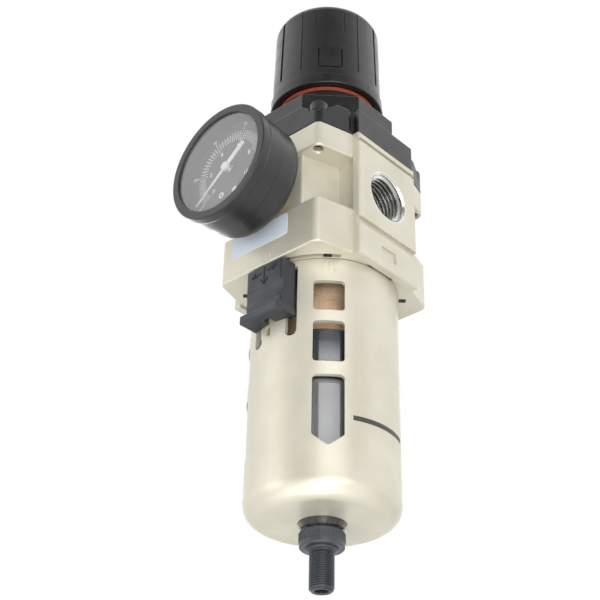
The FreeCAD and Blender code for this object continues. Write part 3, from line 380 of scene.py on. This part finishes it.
def turned_metal(name, dark, light, rough=0.32, axis="z"):
    """Metal turned on a lathe: fine rings along one axis, a little stained."""
    f = Finish(name)
    along = {"x": f.x, "z": f.z}[axis]
    wander = f.noise(scale=300.0, detail=2.0) * 3.0
    grooves = f.waves(along * lathe_marks + wander)
    stain = f.ramp(f.noise(scale=120.0, detail=4.0), low=0.3, high=0.7)
    stained = f.ramp(stain, 0.0, 1.0, start=rough, end=rough + 0.12)
    return f.close(Base_Color=f.mix(stain, dark, light), Metallic=1.0, Roughness=stained,
                   Normal=f.normal(grooves, depth=0.006 * MM, edge=0.1 * MM, strength=0.6))


def sintered(name, dark, light):
    """Resin-bonded fibre of the filter element, with an open grain."""
    f = Finish(name)
    grain = f.noise(scale=1500.0, detail=5.0)
    patch = f.noise(scale=160.0, detail=3.0)
    tone = f.ramp(f.blend(grain, patch, share=0.6), low=0.35, high=0.65)
    relief = f.normal(grain, depth=0.16 * MM)
    return f.close(Base_Color=f.mix(tone, dark, light), Roughness=0.9, Normal=relief)


def clear_plastic(name, tint, haze_and_sheen, shine):
    """Clear wall: a faint misty layer, which on the gauge window is paler and is a painted sheen, under a
    mirror that grows at a glancing angle.
    """
    f = Finish(name)
    wave = f.noise(scale=90.0, detail=2.0)
    relief = f.normal(wave, depth=0.02 * MM)
    glance = f.node("ShaderNodeLayerWeight", None, {"Blend": 0.5}, "Facing")
    outside = 1 - f.node("ShaderNodeNewGeometry", output="Backfacing")
    uneven_haze_and_sheen = (haze_and_sheen + wave * 0.02) * outside
    haze_and_sheen_layer = f.node("ShaderNodeBsdfPrincipled", None, {
        "Base Color": tint, "Roughness": 0.4, "Alpha": uneven_haze_and_sheen, "Normal": relief})
    mirror = f.node("ShaderNodeBsdfPrincipled", None, {
        "Base Color": srgb(250, 250, 250), "Metallic": 1.0, "Roughness": 0.07, "Normal": relief})
    grazing = glance * glance * glance * 0.85
    straight = shine * f.ramp(f.z, dull_from, dull_to, start=1.0, end=dull_share)
    both = f.node("ShaderNodeMixShader", None, {0: (grazing + straight) * outside, 1: haze_and_sheen_layer, 2: mirror})
    f.node("ShaderNodeOutputMaterial", None, {"Surface": both})
    return f.material


def printed(name, dark, light):
    """Thin even print with a slight unevenness of the ink."""
    f = Finish(name)
    ink = f.ramp(f.noise(scale=1800.0, detail=3.0), low=0.3, high=0.7)
    return f.close(Base_Color=f.mix(ink, dark, light), Roughness=0.5)


def foil(name, dark, light):
    """Bare silvered foil plate."""
    f = Finish(name)
    fibre = f.noise(scale=2200.0, detail=2.0)
    color = f.mix(f.ramp(fibre, low=0.3, high=0.7), dark, light)
    return f.close(Base_Color=color, Roughness=0.36, Normal=f.normal(fibre, depth=0.004 * MM))


# Finishes, each with its darkest and its lightest colour
champagne = (srgb(199, 194, 176), srgb(214, 209, 193))
guard_paint_and_inside_shade = cast_paint("champagne_paint", *champagne)
body_paint = cast_paint("champagne_paint_and_bores", *champagne, machined=True)
black = moulded("black_moulding", srgb(22, 22, 23), srgb(31, 31, 32))
dark_inner = moulded("dark_inner_moulding", srgb(28, 33, 42), srgb(44, 51, 62),
                     grain=1800.0, depth=0.006 * MM)
slate = moulded("slate_moulding", srgb(54, 57, 61), srgb(72, 75, 80), rough=0.38)
barrel_slate = moulded("barrel_moulding", srgb(38, 42, 46), srgb(52, 56, 61), rough=0.38)
button_slate = moulded("button_moulding", srgb(37, 40, 44), srgb(51, 54, 59), rough=0.42, grain=3000.0)
orange = moulded("orange_moulding", srgb(136, 58, 34), srgb(162, 82, 54),
                 grain=1800.0, depth=0.004 * MM, edge=0.1 * MM)
float_grey = moulded("float_grey", srgb(118, 121, 120), srgb(140, 143, 141),
                     rough=0.32, grain=1400.0, depth=0.02 * MM)
gauge_black = moulded("gauge_black", srgb(30, 30, 32), srgb(40, 41, 43),
                      grain=3400.0, depth=0.005 * MM, edge=0.25 * MM)
rubber = moulded("black_rubber", srgb(22, 22, 23), srgb(34, 34, 35),
                 rough=0.75, grain=1200.0, depth=0.02 * MM)
screw_black = moulded("black_oxide", srgb(30, 30, 32), srgb(48, 48, 50),
                      rough=0.36, grain=2200.0, depth=0.006 * MM, edge=0.15 * MM)
steel = turned_metal("zinc_steel", srgb(128, 128, 130), srgb(164, 164, 168))
spring_wire = turned_metal("spring_wire", srgb(120, 120, 122), srgb(160, 160, 162))
brass = turned_metal("turned_brass", srgb(176, 148, 92), srgb(208, 182, 124), rough=0.26)
aluminium = turned_metal("machined_aluminium", srgb(186, 186, 182), srgb(224, 224, 220),
                         rough=0.22, axis="x")
fibre = sintered("filter_fibre", srgb(205, 160, 122), srgb(242, 208, 170))
bowl_clear = clear_plastic("clear_bowl_wall", tint=srgb(110, 116, 120), haze_and_sheen=0.06, shine=0.08)
# The gauge window's pale layer is a painted soft reflection over the dial
glass = clear_plastic("gauge_window", tint=srgb(226, 226, 230), haze_and_sheen=0.21, shine=0.025)
dial_face = printed("dial_face", srgb(54, 54, 57), srgb(64, 64, 67))
white_ink = printed("white_ink", srgb(226, 226, 226), srgb(246, 246, 246))
dark_ink = printed("dark_ink", srgb(52, 54, 52), srgb(66, 68, 66))
silver_foil = foil("silver_foil", srgb(208, 218, 230), srgb(226, 233, 241))

CAD_FINISH = {
    body_paint: ["body_casting"],
    guard_paint_and_inside_shade: ["bowl_guard"],
    black: ["bonnet", "knob", "valve_guide"],
    dark_inner: ["deflector", "baffle", "float_guide"],
    button_slate: ["lock_button"],
    slate: ["drain_ring"],
    barrel_slate: ["drain_barrel"],
    orange: ["unlock_ring"],
    float_grey: ["float_body", "pilot_valve"],
    gauge_black: ["gauge_case", "gauge_bezel"],
    rubber: ["diaphragm", "valve_seal", "bowl_seal", "drain_seal"],
    screw_black: ["bonnet_screws"],
    steel: ["adjusting_screw", "spring_seat", "diaphragm_plate", "rear_plug"],
    spring_wire: ["adjusting_spring", "valve_spring", "lock_spring"],
    brass: ["thrust_washer", "diaphragm_hub", "valve_stem", "gauge_movement", "gauge_stem", "bourdon_tube"],
    fibre: ["filter_element"],
    bowl_clear: ["clear_bowl"],
    glass: ["gauge_glass"],
    dial_face: ["gauge_dial"],
    white_ink: ["gauge_pointer"],
}
for finish, names in CAD_FINISH.items():
    for name in names:
        for place in nodes[name].material_slots:
            place.material = finish


def piece(name, mesh, finish, body, smooth=30.0):
    """Puts a mesh in the scene as a piece of the object."""
    mesh.materials.clear()
    mesh.materials.append(finish)
    if smooth:
        mesh.shade_smooth()
        mesh.set_sharp_from_angle(angle=radians(smooth))
    made = bpy.data.objects.new(name, mesh)
    bpy.context.scene.collection.objects.link(made)
    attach(made, body)
    return made


def mesh_of(name, points, faces):
    """Mesh whose faces all look outwards."""
    mesh = bpy.data.meshes.new(name)
    mesh.from_pydata([tuple(p) for p in points], [], faces)
    solid = bmesh.new()
    solid.from_mesh(mesh)
    bmesh.ops.recalc_face_normals(solid, faces=solid.faces)
    solid.to_mesh(mesh)
    solid.free()
    return mesh


def joined(name, meshes):
    """Several meshes in one."""
    solid = bmesh.new()
    for mesh in meshes:
        solid.from_mesh(mesh)
    result = bpy.data.meshes.new(name)
    solid.to_mesh(result)
    solid.free()
    return result


def swept(rings, looped=False):
    """Points and faces of a skin over closed rings of equally many points, capped unless it loops."""
    points = [p for one in rings for p in one]
    count = len(rings[0])
    faces = []
    for i in range(len(rings) if looped else len(rings) - 1):
        here = i * count
        there = (i + 1) % len(rings) * count
        for j in range(count):
            k = (j + 1) % count
            faces.append((here + j, here + k, there + k, there + j))
    if not looped:
        faces.append(tuple(reversed(range(count))))
        faces.append(tuple(range(len(points) - count, len(points))))
    return points, faces


def around_z(r, angle, z):
    return Vector((r * cos(angle), r * sin(angle), z))


def helix_ridge(name, root_r, crest_r, pitch, length, segments=64):
    """Screw thread as one ridge about Z, from 0 to its length, faded over half a turn at both ends."""
    root_half = 0.46 * pitch
    crest_half = 0.07 * pitch
    least_height = 0.05
    fade_steps = segments / 2
    steps = ceil(length / pitch * segments)
    rings = []
    for i in range(steps + 1):
        angle = 2 * pi * i / segments
        middle = length * i / steps
        fade = min(1.0, i / fade_steps, (steps - i) / fade_steps)
        tip = root_r + (crest_r - root_r) * max(fade, least_height)
        profile = ((root_r, -root_half), (tip, -crest_half), (tip, crest_half), (root_r, root_half))
        rings.append([around_z(r, angle, middle + h) for r, h in profile])
    return mesh_of(name, *swept(rings))


def arc_band(name, inner, outer, start, sweep, high, steps=96):
    """Flat band of one height along an arc in the XY plane."""
    corners = ((inner, 0), (outer, 0), (outer, high), (inner, high))
    rings = []
    for i in range(steps + 1):
        angle = radians(start) - radians(sweep) * i / steps
        rings.append([around_z(r, angle, z) for r, z in corners])
    return mesh_of(name, *swept(rings))


def on_cylinder(name, r, thick, low, high, start, sweep, steps=48):
    """Thin curved plate that lies on an upright cylinder."""
    corners = ((r - thick, low), (r + thick, low), (r + thick, high), (r - thick, high))
    rings = []
    for i in range(steps + 1):
        angle = radians(start + sweep * i / steps)
        rings.append([around_z(a, angle, z) for a, z in corners])
    return mesh_of(name, *swept(rings))


def radial_bar(name, inner, outer, wide, low, high, turn):
    """Flat bar along a radius, turned about Z."""
    half = wide / 2
    corners = ((inner, -half), (outer, -half), (outer, half), (inner, half))
    mesh = mesh_of(name, *swept([[Vector((x, y, z)) for x, y in corners] for z in (low, high)]))
    mesh.transform(Matrix.Rotation(radians(turn), 4, "Z"))
    return mesh


def rounded_plate(name, x, z, corner, front, back, corner_steps=6):
    """Upright plate facing the front, with rounded corners."""
    centres = ((x[1] - corner, z[1] - corner, 0), (x[0] + corner, z[1] - corner, 90),
               (x[0] + corner, z[0] + corner, 180), (x[1] - corner, z[0] + corner, 270))
    outline = []
    for middle_x, middle_z, start in centres:
        for i in range(corner_steps + 1):
            angle = radians(start + 90 * i / corner_steps)
            outline.append((middle_x + corner * cos(angle), middle_z + corner * sin(angle)))
    return mesh_of(name, *swept([[Vector((a, y, b)) for a, b in outline] for y in (front, back)]))


def stroke(a, b, wide, front, back):
    """Straight bar between two points (x, z), facing the front."""
    a, b = Vector(a), Vector(b)
    along = (b - a).normalized()
    side = Vector((-along.y, along.x)) * wide / 2
    corners = (a - side, b - side, b + side, a + side)
    return mesh_of("stroke", *swept([[Vector((c.x, y, c.y)) for c in corners] for y in (front, back)]))


def lettering(text, size, place, high, bold=0.02):
    """Mesh of a short text, centred on the place and thickened by a share of its size."""
    curve = bpy.data.curves.new("figure", "FONT")
    curve.body = text
    curve.size = size
    curve.align_x = "CENTER"
    curve.align_y = "CENTER"
    curve.extrude = high / 2
    curve.offset = bold * size
    carrier = bpy.data.objects.new("figure", curve)
    bpy.context.scene.collection.objects.link(carrier)
    bpy.context.view_layer.update()
    evaluated = carrier.evaluated_get(bpy.context.evaluated_depsgraph_get())
    mesh = bpy.data.meshes.new_from_object(evaluated)
    bpy.data.objects.remove(carrier)
    mesh.transform(Matrix.Translation(place))
    return mesh


def set_inputs(modifier, values):
    """Sets a modifier's inputs by the identifiers of their sockets."""
    for item in modifier.node_group.interface.items_tree:
        if item.item_type == "SOCKET" and item.in_out == "INPUT" and item.name in values:
            modifier[item.identifier] = values[item.name]


def grown(name, tree, values):
    """Mesh that a geometry tree grows with the given inputs."""
    seed = bpy.data.objects.new(name, bpy.data.meshes.new(name))
    bpy.context.scene.collection.objects.link(seed)
    modifier = seed.modifiers.new("grow", "NODES")
    modifier.node_group = tree
    set_inputs(modifier, values)
    bpy.context.view_layer.update()
    evaluated = seed.evaluated_get(bpy.context.evaluated_depsgraph_get())
    mesh = bpy.data.meshes.new_from_object(evaluated)
    seed.modifiers.remove(modifier)
    bpy.data.objects.remove(seed)
    return mesh


def bar_shape(g, given):
    sides = {"X": given["Long"], "Y": given["Wide"], "Z": given["High"]}
    size = g.node("ShaderNodeCombineXYZ", None, sides)
    return g.node("GeometryNodeMeshCube", None, {"Size": size})


def rod_shape(g, given, sides=10):
    inputs = {"Vertices": sides, "Radius": given["Wide"], "Depth": given["High"]}
    return g.node("GeometryNodeMeshCylinder", None, inputs)


def repeat_tree(name, finish, shape):
    """Tree that sets copies of a shape round an arc in the XY plane, facing outwards."""
    tree = bpy.data.node_groups.new(name, "GeometryNodeTree")
    tree.interface.new_socket("Geometry", in_out="OUTPUT", socket_type="NodeSocketGeometry")
    tree.interface.new_socket("Count", in_out="INPUT", socket_type="NodeSocketInt")
    for label in ("Radius", "Start", "Sweep", "Long", "Wide", "High"):
        tree.interface.new_socket(label, in_out="INPUT", socket_type="NodeSocketFloat")
    g = Graph(tree)
    group_in = tree.nodes.new("NodeGroupInput")
    given = {out.name: Wire(g, out) for out in group_in.outputs if out.name}
    index = g.node("GeometryNodeInputIndex")
    angle = given["Start"] + given["Sweep"] * index / given["Count"]
    spot = g.node("ShaderNodeCombineXYZ", None, {
        "X": g.math("COSINE", angle) * given["Radius"],
        "Y": g.math("SINE", angle) * given["Radius"],
    })
    points = g.node("GeometryNodePoints", None, {"Count": given["Count"], "Position": spot})
    turn = g.node("ShaderNodeCombineXYZ", None, {"Z": angle})
    copies = g.node("GeometryNodeInstanceOnPoints", None, {
        "Points": points, "Instance": shape(g, given), "Rotation": turn})
    real = g.node("GeometryNodeRealizeInstances", None, {"Geometry": copies})
    done = g.node("GeometryNodeSetMaterial", None, {"Geometry": real, "Material": finish})
    group_out = tree.nodes.new("NodeGroupOutput")
    tree.links.new(done.socket, group_out.inputs[0])
    return tree


def joint_slot_shade():
    """Painted shade: thin dark sheets in the slots where the body takes the guard and in the lock button's
    track.
    """
    low, high = body_under - slot_proud, body_under + slot_sink
    meshes = [radial_bar("slot_shade_sheet", slot_from, slot_to, slot_w, low, high, turn) for turn in slot_turns]
    meshes.append(on_cylinder("slot_shade_sheet", track_wall_r, track_thick, body_under + track_low,
                              body_under + track_high, track_turn - track_half_angle,
                              2 * track_half_angle, steps=8))
    # The sheets of painted shade take the black rubber finish
    piece("joint_slot_shade", joined("joint_slot_shade", meshes), rubber, "housing")


def port_threads():
    """Machined thread of both ports, standing on the bore's wall."""
    length = port_thread_to - port_thread_from
    for name, side in (("inlet_thread", -1), ("outlet_thread", 1)):
        mesh = helix_ridge(name, port_r + port_thread_sink, port_minor_r, port_pitch, length)
        turn = Matrix.Rotation(side * pi / 2, 4, "Y")
        mesh.transform(Matrix.Translation((side * port_thread_from, 0, port_z)) @ turn)
        piece(name, mesh, aluminium, "housing")


def cone_r(z, top):
    """Barrel's outer radius: straight, then widening up to the ring."""
    widened = max(0.0, z - drain_straight) / (top - drain_straight)
    return drain_major_r + widened * (flare_r - drain_major_r)


def drain_thread_r(angle, z, top):
    """Barrel's radius with the thread cut in, chamfered at the mouth and faded at the top."""
    phase = (z / drain_pitch - angle / (2 * pi)) % 1.0
    groove = min(1.0, max(0.0, abs(phase - 0.5) * groove_slope - groove_land))
    fade = min(1.0, (top - z) / drain_pitch)
    chamfer = max(0.0, drain_chamfer - z)
    return cone_r(z, top) - (drain_major_r - drain_minor_r) * groove * fade - chamfer


def drain_barrel(segments=80, rows_per_turn=8):
    """Threaded outlet with its thread cut in, in place of the plain barrel."""
    thread_top = ring_bottom - thread_end_gap
    count = int(thread_top / drain_pitch * rows_per_turn)
    heights = [thread_top * i / count for i in range(1, count + 1)]
    mouth = [
        (drain_bore_r, bore_chamfer),
        (drain_bore_r + bore_chamfer, 0.0),
        (drain_major_r - drain_chamfer, 0.0),
    ]
    flange_z = barrel_top - spigot_h - flange_h
    shoulder = [
        (flare_r, ring_bottom - ring_gap),
        (stem_r, ring_bottom - ring_gap),
        (stem_r, flange_z),
        (flange_r, flange_z),
        (flange_r, flange_z + flange_h),
        (spigot_r, flange_z + flange_h),
        (spigot_r, barrel_top),
        (drain_bore_r, barrel_top),
    ]
    columns = []
    for i in range(segments):
        angle = 2 * pi * i / segments
        thread = [(drain_thread_r(angle, z, thread_top), z) for z in heights]
        columns.append([around_z(r, angle, z) for r, z in mouth + thread + shoulder])
    mesh = mesh_of("threaded_drain_barrel", *swept(columns, looped=True))
    made = piece("threaded_drain_barrel", mesh, barrel_slate, "bowl_set", 35.0)
    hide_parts("drain_barrel")


def drain_knurl():
    """Fine upright ribs round the upper band of the drain ring."""
    tree = repeat_tree("knurl_ribs", slate, rod_shape)
    mesh = grown("drain_knurl", tree, {
        "Count": knurl_count, "Radius": ring_r - knurl_sink, "Sweep": 2 * pi,
        "Wide": knurl_r, "High": knurl_h})
    mesh.transform(Matrix.Translation((0, 0, ring_top - knurl_below - knurl_h / 2)))
    piece("drain_knurl", mesh, slate, "drain_ring", 50.0)


def on_dial():
    """Placing of flat work drawn in XY, seen from the front, on the dial."""
    spot = (0, dial_front - print_h / 2, gauge_z)
    return Matrix.Translation(spot) @ Matrix.Rotation(pi / 2, 4, "X")


def dial_print(name, meshes):
    """White print on the dial, from flat shapes drawn in XY."""
    mesh = joined(name, meshes)
    mesh.transform(on_dial())
    piece(name, mesh, white_ink, "housing", smooth=0)


def marks(tree, steps, r, long, wide):
    """Row of marks along the scale, one more than its steps."""
    count = steps + 1
    sweep = -radians(scale_sweep) / steps * count
    return grown("marks", tree, {
        "Count": count, "Radius": r, "Start": radians(scale_start), "Sweep": sweep,
        "Long": long, "Wide": wide, "High": print_h})


def dial_scale():
    """Two rows of marks, each on a fine arc, in white print."""
    tree = repeat_tree("dial_marks", white_ink, bar_shape)
    spans = scale_labels - 1
    inner_major_r = inner_arc_r + inner_major_past - inner_major_long / 2
    meshes = [
        marks(tree, scale_steps, inner_arc_r - mark_long / 2, mark_long, mark_w),
        marks(tree, spans, inner_major_r, inner_major_long, inner_major_w),
        marks(tree, scale_steps, outer_arc_r + mark_long / 2, mark_long, mark_w),
        marks(tree, spans, outer_arc_r + outer_major_long / 2, outer_major_long, outer_major_w),
    ]
    for r in (inner_arc_r, outer_arc_r):
        meshes.append(arc_band("arc", r, r + arc_w, scale_start, scale_sweep, print_h / 2))
    dial_print("dial_scale", meshes)


def flat_ring(place, inner, outer):
    mesh = arc_band("ring", inner, outer, 0, 360, print_h, steps=32)
    mesh.transform(Matrix.Translation(place))
    return mesh


def dial_figures():
    """Plain figures for both rows, a ring and a disc low on the dial, and two pins at its middle."""
    meshes = []
    for i in range(scale_labels):
        angle = radians(scale_start - scale_sweep * i / (scale_labels - 1))
        inner, outer = around_z(inner_figure_r, angle, 0), around_z(outer_figure_r, angle, 0)
        meshes.append(lettering(str(inner_figure_step * i), inner_figure_size, inner, print_h))
        meshes.append(lettering(str(outer_figure_step * i), outer_figure_size, outer, print_h))
    meshes += [
        flat_ring(low_ring, low_ring_hole_r, low_ring_r),
        flat_ring(low_disc, pin_hole_r, low_ring_r),
        flat_ring(right_pin, pin_hole_r, pin_r),
        flat_ring(left_pin, pin_hole_r, pin_r),
    ]
    dial_print("dial_figures", meshes)


def level_stripe():
    """Dark printed band that marks the highest water level on the outlet side."""
    mesh = on_cylinder("level_stripe", guard_r, stripe_thick, stripe_low, stripe_low + stripe_h,
                       -stripe_half_angle, 2 * stripe_half_angle)
    piece("level_stripe", mesh, dark_ink, "bowl_set")


def body_plate():
    """Bare foil plate on the front of the lower flange."""
    front, back = flange_front - plate_thick, flange_front + plate_sink
    mesh = rounded_plate("body_plate", plate_x, plate_z, plate_corner, front, back)
    piece("body_plate", mesh, silver_foil, "housing")


def button_arrows():
    """Moulded sign on the lock button: pull down, then turn either way. Points are in mm."""
    down_tip, left_tip, right_tip = (0, -3.8), (-6.6, 0.6), (6.6, 3.0)
    lines = [
        ((0, 4.2), down_tip),
        ((-1.9, -1.4), down_tip),
        ((1.9, -1.4), down_tip),
        ((-1.8, 1.8), left_tip),
        (left_tip, (-4.8, 2.9)),
        ((1.8, 1.8), right_tip),
        (right_tip, (4.6, 0.9)),
    ]
    face = button_low[1] + sign_inset
    middle = Vector((0, button_high[2] - sign_down))
    meshes = []
    for a, b in lines:
        ends = [middle + Vector(end) * MM for end in (a, b)]
        meshes.append(stroke(*ends, sign_w, face - sign_proud, face + sign_sink))
    piece("button_arrows", joined("button_arrows", meshes), rubber, "lock_button")


def floor():
    """Pale floor well below the part, which hangs free as in the photograph."""
    signs = ((-1, -1), (1, -1), (1, 1), (-1, 1))
    corners = [(floor_half * a, floor_half * b, floor_z) for a, b in signs]
    mesh = bpy.data.meshes.new("floor")
    mesh.from_pydata(corners, [], [(0, 1, 2, 3)])
    f = Finish("pale_floor")
    pale = f.mix(f.noise(scale=6.0, detail=2.0), srgb(228, 228, 226), srgb(238, 238, 236))
    seen = f.ray_kinds(("Is Camera Ray", "Is Glossy Ray", "Is Transmission Ray"))
    glow = f.mix(seen, srgb(0, 0, 0), srgb(206, 206, 206))
    paper = f.close(Base_Color=pale, Roughness=0.9, Emission_Color=glow, Emission_Strength=1.0)
    mesh.materials.append(paper)
    made = bpy.data.objects.new("floor", mesh)
    bpy.context.scene.collection.objects.link(made)


def backdrop():
    """White where it is seen, dark round the camera where it is mirrored, soft light elsewhere."""
    world = bpy.data.worlds.new("backdrop")
    world.use_nodes = True
    world.node_tree.nodes.clear()
    bpy.context.scene.world = world
    g = Graph(world.node_tree)
    plain = g.ray_kinds(("Is Camera Ray", "Is Transmission Ray"))
    mirrored = g.ray_kinds(("Is Glossy Ray",))
    x, y, z = g.split(g.node("ShaderNodeTexCoord", output="Generated"))
    camera_side = x * sin(radians(camera_azimuth)) - y * cos(radians(camera_azimuth))
    soft = g.ramp(z, low=-1.0, high=1.0, start=soft_below, end=soft_above)
    gloss = g.ramp(camera_side, gloss_from, gloss_to, start=gloss_aside, end=gloss_at_camera)
    strength = soft * (1 - mirrored) + gloss * mirrored
    strength = strength * (1 - plain) + plain
    shader = g.node("ShaderNodeBackground", None, {"Color": (1, 1, 1, 1), "Strength": strength})
    g.node("ShaderNodeOutputWorld", None, {"Surface": shader})


def lamp(name, turn, rise, away, size, power):
    """Soft lamp aimed at the part, placed by its angle from +X, its height and distance."""
    light = bpy.data.lights.new(name, "AREA")
    light.shape = "RECTANGLE"
    light.size, light.size_y = size
    light.energy = power
    made = bpy.data.objects.new(name, light)
    turn, rise = radians(turn), radians(rise)
    back = Vector((cos(turn) * cos(rise), sin(turn) * cos(rise), sin(rise)))
    look = back.to_track_quat("Z", "Y").to_matrix().to_4x4()
    made.matrix_world = Matrix.Translation(camera_target + back * away) @ look
    bpy.context.scene.collection.objects.link(made)


def lights():
    """Five lamps on the front's side and one behind."""
    lamp("key", turn=-30.0, rise=-8.0, away=0.75, size=(0.40, 0.40), power=2.0)
    lamp("front", turn=-46.0, rise=-28.0, away=0.62, size=(0.36, 0.36), power=1.3)
    lamp("low", turn=-64.0, rise=-66.0, away=0.50, size=(0.40, 0.40), power=0.95)
    lamp("left", turn=-118.0, rise=-2.0, away=0.85, size=(0.30, 0.60), power=1.1)
    lamp("strip", turn=-36.0, rise=20.0, away=0.46, size=(0.30, 0.11), power=0.35)
    lamp("back", turn=130.0, rise=30.0, away=0.90, size=(0.60, 0.60), power=2.2)


def camera():
    """Camera of the photograph: below the part, looking up at its front right."""
    azimuth, rise, roll = radians(camera_azimuth), radians(camera_elevation), radians(camera_roll)
    back = Vector((sin(azimuth) * cos(rise), -cos(azimuth) * cos(rise), sin(rise)))
    right = Vector((cos(azimuth), sin(azimuth), 0))
    up = back.cross(right)
    right, up = right * cos(roll) + up * sin(roll), up * cos(roll) - right * sin(roll)
    view = bpy.data.cameras.new("camera")
    view.sensor_fit = "HORIZONTAL"
    view.sensor_width = camera_sensor
    view.lens = camera_lens
    view.clip_start = camera_near
    made = bpy.data.objects.new("camera", view)
    turn = Matrix((right, up, back)).transposed().to_4x4()
    made.matrix_world = Matrix.Translation(camera_target + back * camera_distance) @ turn
    bpy.context.scene.collection.objects.link(made)
    bpy.context.scene.camera = made


joint_slot_shade()
port_threads()
drain_barrel()
drain_knurl()
dial_scale()
dial_figures()
level_stripe()
body_plate()
button_arrows()
floor()
backdrop()
lights()
camera()
bpy.context.scene.view_settings.view_transform = "Standard"
